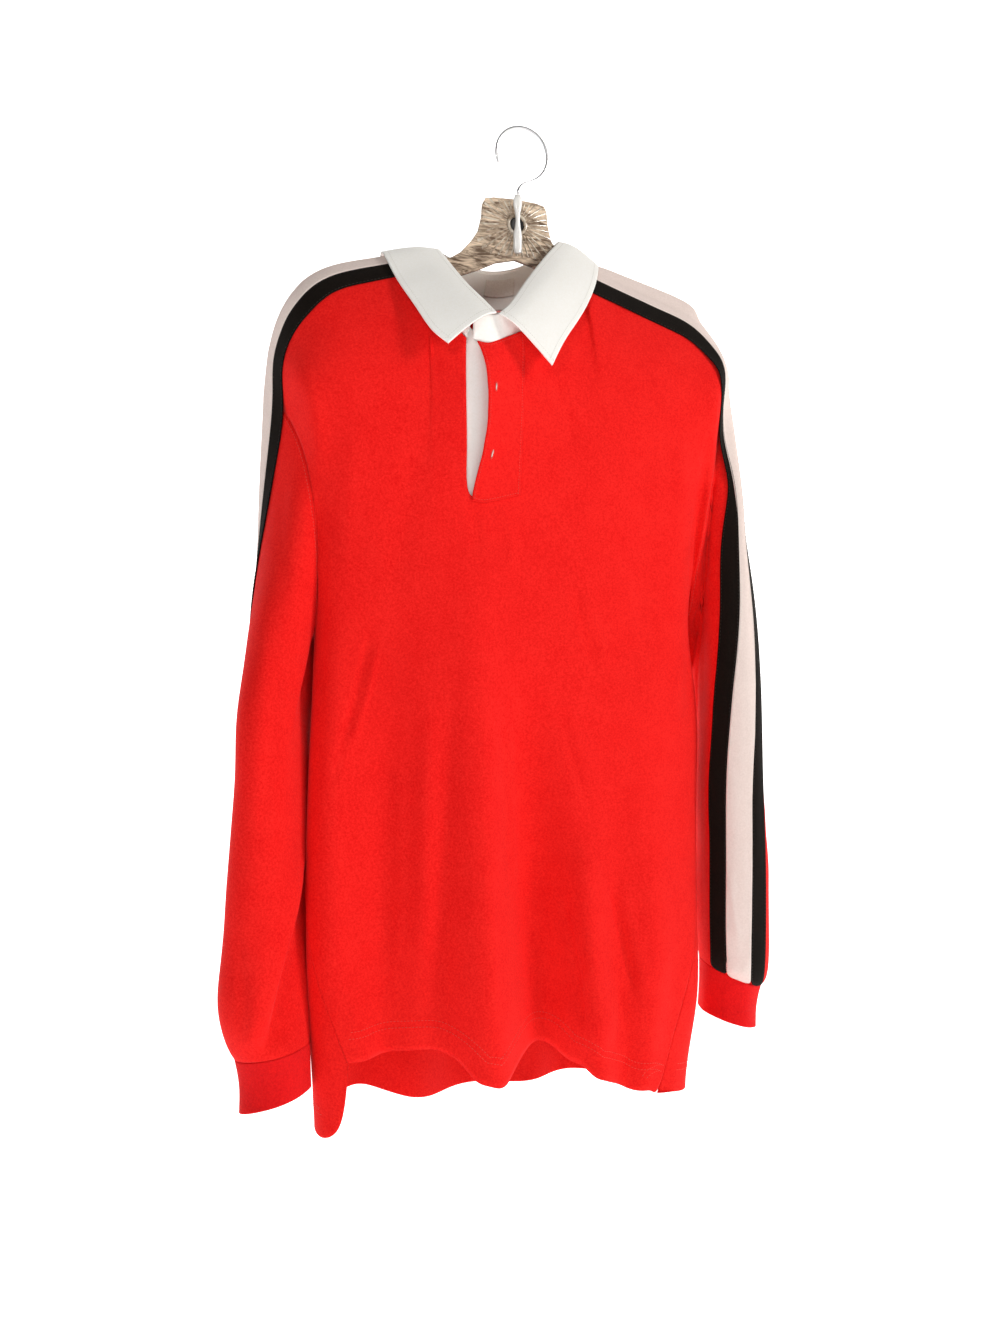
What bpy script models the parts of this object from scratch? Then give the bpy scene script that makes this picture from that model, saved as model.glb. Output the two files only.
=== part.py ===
"""A long-sleeved rugby shirt hanging on a clear plastic hanger.

Red knit body and sleeves, white collar and button strip, three tapes along each
shoulder and sleeve, ribbed cuffs. The hanger lies along X, the shirt's front faces -Y
and the hook hangs from the origin. Tables and sizes are in millimetres.
"""

import math

import bmesh
import bpy
import numpy as np

MM = 0.001

# Cloth and seams
CLOTH = 1.6          # body and sleeve knit
RIB = 2.2            # cuffs
COLLAR = 1.8
TAPE = 1.0
SEAM_GAP = 0.3       # between neighbouring pieces
TAPE_HALF = 12.5     # white tape, half its width, centred on the shoulder line
TAPE_BLACK = 19.5    # each black tape

# Hanger, from its middle plane outwards
HANGER_X = -8.0
RIDGE_Z = -107.8     # where the two slopes would meet
SLOPE = math.radians(15.5)
SLOPE_RUN = 172.0    # level distance from the middle to the start of the bend
BEND = 85.0          # radius of the cloth over the end of the arm
HANG = math.radians(84.0)
RIDGE_TURN = 226.0   # past this the shoulder line swings back or forward on the arm
RIDGE_BACK = {-1: 31.0, 1: -3.0}

# Ends of the shoulder seams, as distances along the ridge from the middle
NECK_LEFT, NECK_RIGHT = 101.7, 67.5
ARMHOLE_LEFT, ARMHOLE_RIGHT = 330.0, 294.6

# Grid of the body panels
SHOULDER_CELLS = 9
NECK_CELLS = 14
UNDERARM_ROW = 8
HEM_ROW = 18
SLIT_COLUMN, STRIP_COLUMN = SHOULDER_CELLS + 4, SHOULDER_CELLS + 7
SLIT_ROW = 5
FRONT_DEPTH, BACK_DEPTH, FALL = 54.0, 52.0, 75.0
VENT_ROW = 16.0      # height of the back's last row of cloth
NECK_SHARES = {True: (0.29, 0.50), False: (0.375, 0.56)}  # of the neckline, to the placket


class Table:
    """Rows of named columns, read between the rows along a smooth curve."""

    def __init__(self, names, *rows):
        order = sorted(rows)
        self.columns = dict(zip(names, np.array(order, float).T))
        self.key = self.columns[names[0]]

    def at(self, name, key):
        x, y = self.key, self.columns[name]
        slope = np.gradient(y, x)
        key = min(max(key, x[0]), x[-1])
        i = min(max(int(np.searchsorted(x, key)) - 1, 0), len(x) - 2)
        step = x[i + 1] - x[i]
        t = (key - x[i]) / step
        return (
            y[i] * (1 + 2 * t) * (1 - t) ** 2
            + slope[i] * step * t * (1 - t) ** 2
            + y[i + 1] * t * t * (3 - 2 * t)
            + slope[i + 1] * step * t * t * (t - 1)
        )


# Body round its girth. seam_left and seam_right say how far forward of the sides the
# side seams have swung; lean_left and lean_right slant the two sides of the section, as
# the shirt hangs a little turned and its left side lies along the sleeve.
BODY = Table(
    ("z", "left", "right", "front", "back", "lean_left", "lean_right", "seam_left", "seam_right"),
    (-480, -204, 181, -56, 54, 0.06, 0.00, 0, 0),
    (-560, -206, 190, -57, 56, 0.24, 0.06, 0, 0),
    (-660, -207.5, 189, -57, 57, 0.42, 0.08, 2, 4),
    (-740, -209, 188, -58, 58, 0.42, 0.02, 14, 14),
    (-800, -208.5, 185, -59, 59, 0.36, -0.10, 28, 34),
    (-860, -207.5, 181, -60, 60, 0.30, -0.20, 48, 56),
    (-950, -204, 165, -62, 60, 0.20, -0.32, 74, 80),
)

# Hem height across the front, and the longer back
HEM = Table(
    ("x", "front", "back"),
    (-200, -886, -959),
    (-160, -883, -952),
    (-118, -884, -942),
    (-86, -896, -954),
    (-57, -914, -961),
    (-20, -900, -960),
    (30, -893, -957),
    (72, -918, -957),
    (115, -936, -958),
    (180, -944, -955),
)

# Soft folds: from a place near the top to a place at the hem; height is forward of the
# panel for the front and behind it for the back, and a valley's is below zero.
FOLD_NAMES = ("x_top", "z_top", "x_low", "z_low", "width_top", "width_low", "height")
FRONT_FOLDS = (
    (-72, -380, -56, -915, 16, 24, 15),
    (-92, -520, -98, -915, 12, 22, -10),
    (-116, -500, -124, -800, 16, 20, 6),
    (-150, -430, -138, -915, 30, 34, -24),
    (-30, -500, 12, -915, 20, 32, -34),
    (20, -640, 52, -915, 18, 18, 12),
    (70, -560, 84, -915, 20, 18, -9),
    (100, -500, 122, -930, 34, 26, 8),
)
BACK_FOLDS = (
    (-130, -330, -150, -960, 26, 30, 9),
    (-85, -420, -95, -960, 22, 26, -16),
    (-30, -300, -35, -960, 28, 30, 10),
    (30, -400, 25, -960, 22, 26, -15),
    (85, -320, 80, -960, 26, 30, 10),
    (130, -450, 125, -960, 20, 26, -12),
)

# Sleeves: the middle of each section, its half width across the view of the photograph
# and its half depth along it, how far the shoulder line has swung to the front, how much
# the section tilts, and which way it is turned, in degrees.
SLEEVE_NAMES = ("z", "x", "y", "across", "deep", "line", "tilt", "turn")
SLEEVE_LEFT = Table(
    SLEEVE_NAMES,
    (-270, -233, 0, 20, 34, -31, 0, -20),
    (-330, -238, 0, 21, 46, -38, 0, -20),
    (-400, -243, 0, 21, 58, -42, 0, -20),
    (-475, -246, -1, 22, 64, -43, 0, -20),
    (-526, -245, -3, 23, 64, -44, 0, -22),
    (-653, -245, -7, 27, 60, -46, 0, -28),
    (-756, -250, -12, 29, 54, -48, 0, -34),
    (-862, -250, -18, 29, 42, -48, 0.10, -42),
    (-876, -247, -20, 28, 35, -46, 0.14, -40),
    (-920, -245, -21, 28, 33, -46, 0.30, -36),
)
SLEEVE_RIGHT = Table(
    SLEEVE_NAMES,
    (-240, 216, 0, 20, 30, 0, 0, -20),
    (-262, 219, 0, 20, 32, 3, 0, -20),
    (-300, 221, 0, 21, 34, 12, 0, -20),
    (-340, 225, 0, 23, 38, 24, 0, -20),
    (-400, 228, 0, 24, 44, 41, 0, -20),
    (-479, 231, 0, 27, 52, 54, 0, -20),
    (-562, 233, 1, 30, 58, 67, 0, -20),
    (-640, 234, 2, 33, 59, 76, 0, -20),
    (-714, 237, 2, 35, 57, 78, 0, -20),
    (-788, 238, 1, 35, 54, 77, -0.15, -20),
    (-836, 238, 0, 34, 48, 72, -0.40, -20),
    (-850, 235, 0, 30, 37, 54, -0.42, -20),
    (-898, 231, 0, 28, 34, 49, -0.32, -20),
)
SLEEVE_SQUARE = 0.82  # below 1, the sections' corners are fuller than an ellipse's
SLEEVE_ROWS = 13
CUFF_TOP_LEFT, CUFF_LOW_LEFT = -874.0, -918.0
CUFF_TOP_RIGHT, CUFF_LOW_RIGHT = -850.0, -897.0
GATHER = 14.0  # height over which the sleeve is gathered into its cuff

# Collar, one row per section round the neck from its left front end, by way of the
# back, to its right front end: the roll line and the leaf's outer edge.
COLLAR_ROWS = Table(
    ("turn", "roll_x", "roll_y", "roll_z", "edge_x", "edge_y", "edge_z"),
    (0.0, -52, -70, -207, -100, -76, -241),
    (0.8, -60, -60, -194, -112, -68, -229),
    (1.9, -71, -42, -174, -124, -52, -203),
    (3.0, -79, -20, -151, -136, -30, -172),
    (4.0, -84, 2, -130, -142, 2, -138.5),
    (5.0, -74, 34, -119, -122, 56, -160),
    (6.0, -44, 48, -124, -70, 70, -186),
    (7.0, -14, 51, -126, -14, 74, -192),
    (8.0, 14, 46, -120, 38, 68, -178),
    (9.0, 33, 30, -110, 76, 50, -150),
    (10.0, 40, 2, -106, 80, 0, -126),
    (11.0, 20, -16, -127, 66, -29, -155),
    (12.0, -10, -40, -162, 44, -50, -190),
    (13.0, -34, -60, -193, 16, -68, -226),
    (14.0, -50, -72, -208, -1, -80, -253),
)
STAND_DROP = 3.0  # the stand ends this far under the roll line


def unit(v):
    v = np.asarray(v, float)
    length = np.linalg.norm(v, axis=-1, keepdims=True)
    return v / np.where(length == 0, 1, length)


def ease(t):
    t = min(max(t, 0.0), 1.0)
    return t * t * (3 - 2 * t)


def bezier(points, t):
    a, b, c, d = (np.array(p, float) for p in points)
    s = 1 - t
    return s**3 * a + 3 * s * s * t * b + 3 * s * t * t * c + t**3 * d


def along(points, distances):
    """Points at these distances along a polyline."""
    points = np.asarray(points, float)
    steps = np.linalg.norm(np.diff(points, axis=0), axis=1)
    run = np.concatenate([[0], np.cumsum(steps)])
    return np.stack([np.interp(distances, run, points[:, k]) for k in range(3)], -1), run[-1]


def ridge(side, distance):
    """A point of the shoulder line, this far along it from the hanger's middle."""
    straight = SLOPE_RUN / math.cos(SLOPE)
    turn = HANG - SLOPE
    x, z = SLOPE_RUN, RIDGE_Z - SLOPE_RUN * math.tan(SLOPE)
    if distance <= straight:
        x = distance * math.cos(SLOPE)
        z = RIDGE_Z - distance * math.sin(SLOPE)
        angle = SLOPE
    else:
        angle = SLOPE + min((distance - straight) / BEND, turn)
        x += BEND * (math.sin(angle) - math.sin(SLOPE))
        z -= BEND * (math.cos(SLOPE) - math.cos(angle))
        rest = distance - straight - BEND * turn
        if rest > 0:
            x += rest * math.cos(HANG)
            z -= rest * math.sin(HANG)
    inward = np.array([-side * math.sin(angle), 0.0, -math.cos(angle)])
    back = RIDGE_BACK[side] * ease((distance - RIDGE_TURN) / 75)
    return np.array([HANGER_X + side * x, back, z]), inward


def girth(z, back):
    """The front or back half of the body's section at this height, from its left side
    seam to its right one, as closely spaced points."""
    left, right = BODY.at("left", z), BODY.at("right", z)
    front, rear = BODY.at("front", z), BODY.at("back", z)
    angles = np.linspace(math.pi, -math.pi, 721)
    power = 2 / 2.7
    c, s = np.cos(angles), np.sin(angles)
    x = (left + right) / 2 + (right - left) / 2 * np.sign(c) * abs(c) ** power
    y = (front + rear) / 2 - (rear - front) / 2 * np.sign(s) * abs(s) ** power
    across = (x - left) / (right - left)
    x = x + (BODY.at("lean_left", z) * (1 - across) + BODY.at("lean_right", z) * across) * y
    loop = np.stack([x, y, np.full_like(x, z)], -1)
    steps = np.concatenate([[0], np.cumsum(np.linalg.norm(np.diff(loop, axis=0), axis=1))])
    half = steps[360]
    first, last = BODY.at("seam_left", z), half - BODY.at("seam_right", z)
    if back:
        first, last = steps[-1] + first, last
    return loop, steps, first, last


def girth_points(z, back, shares):
    loop, steps, first, last = girth(z, back)
    wanted = (first + (last - first) * np.asarray(shares)) % steps[-1]
    return np.stack([np.interp(wanted, steps, loop[:, k]) for k in range(3)], -1)


def column_shares():
    """Where the columns lie along the girth: the placket's two edges hang plumb."""
    slit, strip, right = 0.358, 0.453, 1.0
    ends = (0, SLIT_COLUMN, STRIP_COLUMN, 2 * SHOULDER_CELLS + NECK_CELLS)
    return np.interp(np.arange(ends[-1] + 1), ends, (0, slit, strip, right))


def fold_push(folds, x, z):
    push = 0.0
    for row in folds:
        fold = dict(zip(FOLD_NAMES, row))
        down = (fold["z_top"] - z) / (fold["z_top"] - fold["z_low"])
        if down <= 0:
            continue
        share = min(down, 1.15)
        middle = fold["x_top"] + (fold["x_low"] - fold["x_top"]) * share
        width = fold["width_top"] + (fold["width_low"] - fold["width_top"]) * share
        push += fold["height"] * ease(share * 1.15) * math.exp(-(((x - middle) / width) ** 2))
    return push


NECK_FRONT = (
    ((-106, 0, -138), (-112, -30, -172), (-98, -63, -230), (-66, -66, -238)),
    ((-66, -66, -238), (-44, -67, -231), (56, -34, -184), (57, 0, -131)),
)
NECK_BACK = (
    ((-106, 0, -138), (-90, 34, -160), (-50, 47, -168), (-14, 48, -168)),
    ((-14, 48, -168), (20, 48, -166), (46, 32, -150), (57, 0, -131)),
)


def neckline(halves, ends, shares):
    """Points of the neckline, joined to the ends of the shoulder seams."""
    fine = np.concatenate([[bezier(h, t) for t in np.linspace(0, 1, 60)] for h in halves])
    steps = np.linalg.norm(np.diff(fine, axis=0), axis=1)
    fine = fine[np.concatenate([[True], steps > 1e-6])]
    length = along(fine, [0])[1]
    points = along(fine, length * shares)[0]
    for k, point in enumerate(points):
        share = k / NECK_CELLS
        points[k] = point + (ends[0] - points[0]) * (1 - share) ** 3 * (k > 0)
    points[0], points[-1] = ends
    return points


def armhole(side, back):
    """The armhole's front or back half, from the shoulder down to the underarm."""
    top, inward = ridge(side, ARMHOLE_RIGHT if side > 0 else ARMHOLE_LEFT)
    under = girth_points(BODY.key[-1], back, [1.0 if side > 0 else 0.0])[0]
    out = 1 if back else -1
    return (
        top,
        top + inward * 26 + np.array([0, out * 34, -12]),
        np.array([under[0] + side * 4, out * 50, under[2] + 120]),
        under,
    )


def panel(back):
    """The body's front or back as rows of points, from the shoulders to the hem."""
    columns = 2 * SHOULDER_CELLS + NECK_CELLS
    out = 1 if back else -1
    depth = BACK_DEPTH if back else FRONT_DEPTH
    shares = column_shares()
    lower = girth_points(BODY.key[-1], back, shares)
    left = np.linspace(ARMHOLE_LEFT, NECK_LEFT, SHOULDER_CELLS + 1)
    right = np.linspace(NECK_RIGHT, ARMHOLE_RIGHT, SHOULDER_CELLS + 1)
    tops = [ridge(-1, s) for s in left] + [None] * (NECK_CELLS - 1) + [ridge(1, s) for s in right]
    neck = neckline(
        NECK_BACK if back else NECK_FRONT,
        (tops[SHOULDER_CELLS][0], tops[SHOULDER_CELLS + NECK_CELLS][0]),
        np.interp(range(NECK_CELLS + 1), (0, 4, 7, NECK_CELLS), (0, *NECK_SHARES[back], 1)),
    )
    rows = UNDERARM_ROW + 1
    grid = np.zeros((HEM_ROW + 1 + (1 if back else 0), columns + 1, 3))
    for i in range(columns + 1):
        end = lower[i]
        if SHOULDER_CELLS < i < SHOULDER_CELLS + NECK_CELLS:
            start = neck[i - SHOULDER_CELLS]
            share = (i - SHOULDER_CELLS) / NECK_CELLS
            spread = 4 * (1 - 2 * share)
            path = (start, start + np.array([-spread, 0, -60]), end + np.array([0, 0, 110]), end)
        else:
            start, inward = tops[i]
            edge = min(i, columns - i) / SHOULDER_CELLS
            reach = 30 + 42 * ease(edge * 1.6)
            inward = inward * np.array([1 - 0.9 * ease(edge * 1.2 - 0.2), 1, 1])
            path = (
                start,
                start + inward * reach,
                end + np.array([0, 0, 120 + 30 * edge]),
                end,
            )
        run = np.linspace(0, 1, 80)
        fine = np.array([bezier(path, t) for t in run])
        length = along(fine, [0])[1]
        swell = out * (depth + (0 if back else 10 * math.exp(-(((i - 14.5) / 5) ** 2))))
        near_arm = 1 - ease(min(i, columns - i) / 4)
        fall = FALL - 30 * near_arm
        for k, t in enumerate(run):
            y = swell + (start[1] - swell) * math.exp(-t * length / fall)
            fine[k, 1] = y + (end[1] - y) * ease((t - 0.15) / 0.85)
        if i in (0, columns):
            fine = np.array([bezier(armhole(-1 if i == 0 else 1, back), t) for t in run])
        length = along(fine, [0])[1]
        first = TAPE_HALF + TAPE_BLACK
        rest = np.linspace(first, length, rows - 2)[1:]
        grid[:rows, i] = along(fine, np.concatenate([[0, TAPE_HALF, first], rest]))[0]
    for j in range(rows, HEM_ROW + 1 + (1 if back else 0)):
        share = min((j - UNDERARM_ROW) / (HEM_ROW - UNDERARM_ROW), 1.0)
        for i in range(columns + 1):
            hem = HEM.at("front", lower[i, 0])
            z = BODY.key[-1] + (hem - BODY.key[-1]) * share
            if back:
                long = HEM.at("back", lower[i, 0])
                vent = HEM.at("front", -200 if i < columns / 2 else 180)
                aside = min(i, columns - i)
                stop = vent + (long + VENT_ROW - vent) * ease(aside / 4)
                z = BODY.key[-1] + (stop - BODY.key[-1]) * share
                if j > HEM_ROW:
                    z = vent - 3 + (long + 3 - vent) * math.sin(min(aside / 3, 1) * math.pi / 2)
            grid[j, i] = girth_points(z, back, [shares[i]])[0]
    folds = BACK_FOLDS if back else FRONT_FOLDS
    for j in range(2, grid.shape[0]):
        for i in range(1, columns):
            x, y, z = grid[j, i]
            side = min(i, columns - i)
            grid[j, i, 1] += out * fold_push(folds, x, z) * ease(side / 4) * ease((j - 1) / 3)
    return grid


def sleeve_ring(table, side, z, count):
    """One section of a sleeve, from the shoulder line round by its front."""
    across, deep = table.at("across", z), table.at("deep", z)
    turn = math.radians(table.at("turn", z))
    r = np.array([math.cos(turn), math.sin(turn), 0.0])
    d = np.array([-r[1], r[0], 0.0])
    angles = np.linspace(0, 2 * math.pi, 361)
    middle = np.array([table.at("x", z), table.at("y", z), z])
    c, s = np.cos(angles)[:, None], np.sin(angles)[:, None]
    c, s = np.sign(c) * abs(c) ** SLEEVE_SQUARE, np.sign(s) * abs(s) ** SLEEVE_SQUARE
    loop = middle + side * across * c * r - deep * s * d
    loop[:, 2] += table.at("tilt", z) * side * across * c[:, 0]
    steps = np.concatenate([[0], np.cumsum(np.linalg.norm(np.diff(loop, axis=0), axis=1))])
    total = steps[-1]
    half = count // 2
    first = TAPE_HALF + TAPE_BLACK
    front = np.concatenate([[0, TAPE_HALF], np.linspace(first, total / 2, half - 1)])
    run = np.concatenate([front, total - front[-2:0:-1]]) + table.at("line", z)
    return np.stack([np.interp(run % total, steps, loop[:, k]) for k in range(3)], -1)


def sleeve(side, start):
    """Rows of points from the armhole to the cuff's seam, closed round the arm."""
    table = SLEEVE_RIGHT if side > 0 else SLEEVE_LEFT
    low = CUFF_TOP_RIGHT if side > 0 else CUFF_TOP_LEFT
    count = len(start)
    grid = np.zeros((SLEEVE_ROWS + 2, count, 3))
    grid[0] = start
    shares = np.linspace(0, 1, SLEEVE_ROWS + 1) ** 0.92
    for j in range(1, SLEEVE_ROWS + 2):
        for k in range(count):
            if j > SLEEVE_ROWS:
                z = low
            else:
                z = start[k, 2] + (low + GATHER - start[k, 2]) * shares[j]
            own = sleeve_ring(table, side, z, count)[k]
            if j <= SLEEVE_ROWS:
                home = sleeve_ring(table, side, start[k, 2], count)[k]
                left = (1 - ease(shares[j] / 0.42)) * 0.9
                own = own + (start[k] - home) * left * np.array([1, 1, 0])
            grid[j, k] = own
    return grid


def cuff(side, count):
    table = SLEEVE_RIGHT if side > 0 else SLEEVE_LEFT
    top = CUFF_TOP_RIGHT if side > 0 else CUFF_TOP_LEFT
    low = CUFF_LOW_RIGHT if side > 0 else CUFF_LOW_LEFT
    return np.array([sleeve_ring(table, side, z, count) for z in np.linspace(top, low, 3)])


class Cloth:
    """Grids of points that meet at their seams, with one normal at each place."""

    def __init__(self):
        self.normals = {}

    @staticmethod
    def place(point):
        return tuple(np.round(point, 2) + 0.0)

    def add(self, grid, closed, facing):
        rows, columns = grid.shape[:2]
        for j in range(rows - 1):
            for i in range(columns if closed else columns - 1):
                n = (i + 1) % columns
                quad = (grid[j, i], grid[j, n], grid[j + 1, n], grid[j + 1, i])
                normal = facing * np.cross(quad[2] - quad[0], quad[3] - quad[1])
                for corner in quad:
                    key = self.place(corner)
                    self.normals[key] = self.normals.get(key, 0) + unit(normal)

    def of(self, grid):
        return np.array([[unit(self.normals[self.place(p)]) for p in row] for row in grid])


def drawn_in(grid, closed, amount=SEAM_GAP * 0.7):
    """The grid with its borders pulled in, to leave the gap at each seam."""
    grid = grid.copy()
    first = unit(grid[1] - grid[0]) * amount
    last = unit(grid[-2] - grid[-1]) * amount
    grid[0] += first
    grid[-1] += last
    if not closed:
        left = unit(grid[:, 1] - grid[:, 0]) * amount
        right = unit(grid[:, -2] - grid[:, -1]) * amount
        grid[:, 0] += left
        grid[:, -1] += right
    return grid


def sheet(name, grid, normals, thick, material, closed=False, lift=0.0, skip=(), crossed=()):
    """A wall of cloth round a grid of points. skip holds cells that are cut away, and
    crossed the ones that are split along their other diagonal."""
    rows, columns = grid.shape[:2]
    outer = grid + normals * (lift + thick / 2)
    inner = grid + normals * (lift - thick / 2)
    cells = [
        (j, i)
        for j in range(rows - 1)
        for i in range(columns if closed else columns - 1)
        if (j, i) not in skip
    ]
    bm = bmesh.new()
    middle = grid.reshape(-1, 3).mean(axis=0)
    made = {}

    def vert(layer, j, i):
        key = (layer, j, i % columns)
        if key not in made:
            source = outer if layer else inner
            made[key] = bm.verts.new((source[j, i % columns] - middle) * MM)
        return made[key]

    edges = {}
    for j, i in cells:
        a, b, c, d = (j, i), (j, i + 1), (j + 1, i + 1), (j + 1, i)
        for tri in ((a, b, d), (b, c, d)) if (j, i) in crossed else ((a, b, c), (a, c, d)):
            bm.faces.new([vert(1, *p) for p in tri])
            bm.faces.new([vert(0, *p) for p in reversed(tri)])
        for p, q in ((a, b), (b, c), (c, d), (d, a)):
            p, q = (p[0], p[1] % columns), (q[0], q[1] % columns)
            edges[p, q] = True
    for p, q in edges:
        if (q, p) not in edges:
            bm.faces.new((vert(1, *q), vert(1, *p), vert(0, *q)))
            bm.faces.new((vert(1, *p), vert(0, *p), vert(0, *q)))
    if bm.calc_volume(signed=True) < 0:
        bmesh.ops.reverse_faces(bm, faces=bm.faces)
    return finished(name, bm, middle, material)


def finished(name, bm, middle, material):
    mesh = bpy.data.meshes.new(name)
    bm.to_mesh(mesh)
    bm.free()
    mesh.materials.append(material)
    obj = bpy.data.objects.new(name, mesh)
    obj.location = [float(v) * MM for v in middle]
    bpy.context.scene.collection.objects.link(obj)
    return obj


def material(name, colour, roughness, metallic=0.0):
    made = bpy.data.materials.new(name)
    made.use_nodes = True
    shader = made.node_tree.nodes["Principled BSDF"]
    shader.inputs["Base Color"].default_value = (*colour, 1)
    shader.inputs["Roughness"].default_value = roughness
    shader.inputs["Metallic"].default_value = metallic
    return made


for old in list(bpy.data.objects):
    bpy.data.objects.remove(old)

red = material("red_knit", (0.80, 0.012, 0.014), 0.85)
red_rib = material("red_rib", (0.78, 0.012, 0.014), 0.85)
white_knit = material("white_knit", (0.90, 0.88, 0.84), 0.8)
white_tape = material("white_tape", (0.86, 0.80, 0.79), 0.75)
black_tape = material("black_tape", (0.010, 0.008, 0.007), 0.75)
label_grey = material("label_grey", (0.46, 0.40, 0.38), 0.6)
button_white = material("button_white", (0.80, 0.78, 0.73), 0.35)
clear_plastic = material("clear_plastic", (0.52, 0.44, 0.38), 0.18)
hook_steel = material("hook_steel", (0.62, 0.62, 0.62), 0.3, 1.0)

# Body panels, sleeves and cuffs, welded at their seams
front, back = panel(False), panel(True)
sides = {}
cloth = Cloth()
cloth.add(front, False, -1)
cloth.add(back, False, 1)
for side, word, column in ((-1, "left", 0), (1, "right", -1)):
    ahead = front[: UNDERARM_ROW + 1, column]
    behind = back[: UNDERARM_ROW + 1, column]
    ring = np.concatenate([ahead, behind[-2:0:-1]])
    arm = sleeve(side, ring)
    end = cuff(side, len(ring))
    arm[-1] = end[0]
    sides[word] = (side, arm, end)
    cloth.add(arm, True, side)
    cloth.add(end, True, side)

notch = {(j, i) for j in range(SLIT_ROW) for i in range(SLIT_COLUMN, STRIP_COLUMN)}
under_tape = {(j, i) for j in range(2) for i in range(SHOULDER_CELLS)}  # split as the tapes are
under_tape_right = {(j, i + SHOULDER_CELLS + NECK_CELLS) for j, i in under_tape}
sheet("front", drawn_in(front, False), cloth.of(front), CLOTH, red, skip=notch, crossed=under_tape)
sheet("back", drawn_in(back, False), cloth.of(back), CLOTH, red, crossed=under_tape_right)
for word, (side, arm, end) in sides.items():
    sheet("sleeve_" + word, drawn_in(arm, True), cloth.of(arm), CLOTH, red, closed=True)
    sheet("cuff_" + word, drawn_in(end, True), cloth.of(end), RIB, red_rib, closed=True)


def sample(grid, j, i):
    """A point of a grid between its rows and columns."""
    j, i = min(max(j, 0), grid.shape[0] - 1.001), min(max(i, 0), grid.shape[1] - 1.001)
    a, b = int(j), int(i)
    s, t = j - a, i - b
    start, end = grid[a, b], grid[a + 1, b + 1]
    if t > s:
        return start + (grid[a, b + 1] - start) * t + (end - grid[a, b + 1]) * s
    return start + (grid[a + 1, b] - start) * s + (end - grid[a + 1, b]) * t


def patch(grid, rows, columns):
    return np.array([[sample(grid, j, i) for i in columns] for j in rows])


# Tapes: strips of the shoulders' and sleeves' own points, moved out. The white one lies
# over the shoulder seam, with a black one on each side of it.
front_normals, back_normals = cloth.of(front), cloth.of(back)
STRIPS = (("tape_white_", (-1, 0, 1)), ("tape_black_front_", (1, 2)), ("tape_black_back_", (-2, -1)))
TAPE_LIFT = CLOTH / 2 + SEAM_GAP + TAPE / 2
for word, (side, arm, end) in sides.items():
    arm_normals = cloth.of(arm)
    first = 0 if side < 0 else front.shape[1] - 1
    shoulder = [first - side * k for k in range(SHOULDER_CELLS, -1, -1)]
    for stem, lines in STRIPS:
        points, normals = [], []
        for line in lines:
            on, out = (front, front_normals) if line >= 0 else (back, back_normals)
            row = abs(line)
            points.append([on[row, c] for c in shoulder] + list(arm[1:, line]))
            normals.append([out[row, c] for c in shoulder] + list(arm_normals[1:, line]))
        points, normals = np.array(points), np.array(normals)
        tape = white_tape if "white" in stem else black_tape
        sheet(stem + word, drawn_in(points, False), normals, TAPE, tape, lift=TAPE_LIFT)

# Collar stand: inside the neckline from the slit round to the buttonhole strip's edge
NECK_LEFT_COLUMN, NECK_RIGHT_COLUMN = SHOULDER_CELLS, SHOULDER_CELLS + NECK_CELLS
NECK_MIDDLE = np.array([-24.0, -8.0, 0.0])
STAND_IN, STAND_UP = 1.4, 0.5
STAND_END = (2.0, 1.1, 0.3)  # its last places over the strip, in columns from the slit
END_FORWARD, END_HIGH = 2.6, 25.0
seam = (
    [(front[0, c], 4 * (SLIT_COLUMN - c) / 4) for c in range(SLIT_COLUMN, NECK_LEFT_COLUMN, -1)]
    + [(back[0, c], 4 + 6 * (c - NECK_LEFT_COLUMN) / NECK_CELLS)
       for c in range(NECK_LEFT_COLUMN, NECK_RIGHT_COLUMN + 1)]
    + [(front[0, c], 10 + 3 * (NECK_RIGHT_COLUMN - c) / 7)
       for c in range(NECK_RIGHT_COLUMN - 1, STRIP_COLUMN - 1, -1)]
    + [(sample(front, 0, SLIT_COLUMN + c) - np.array([0, END_FORWARD, 0]), 13 + (k + 1) / 3)
       for k, c in enumerate(STAND_END)]
)
stand = np.zeros((4, len(seam), 3))
for k, (foot, turn) in enumerate(seam):
    roll = np.array([COLLAR_ROWS.at("roll_" + axis, turn) for axis in "xyz"])
    inward = unit((NECK_MIDDLE - foot) * np.array([1, 1, 0]))
    low = foot + inward * STAND_IN + np.array([0, 0, STAND_UP])
    high = roll + inward * STAND_IN - np.array([0, 0, STAND_DROP])
    plumb = low + np.array([1.5, 0, END_HIGH if turn > 7 else END_HIGH / 2])
    high = high + (plumb - high) * ease(max((1.3 - turn) / 1.3, (turn - 12.7) / 0.7))
    for j in range(4):
        stand[j, k] = low + (high - low) * j / 3
stand_cloth = Cloth()
stand_cloth.add(stand, False, 1)
sheet("collar_stand", stand, stand_cloth.of(stand), COLLAR, white_knit)

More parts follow.
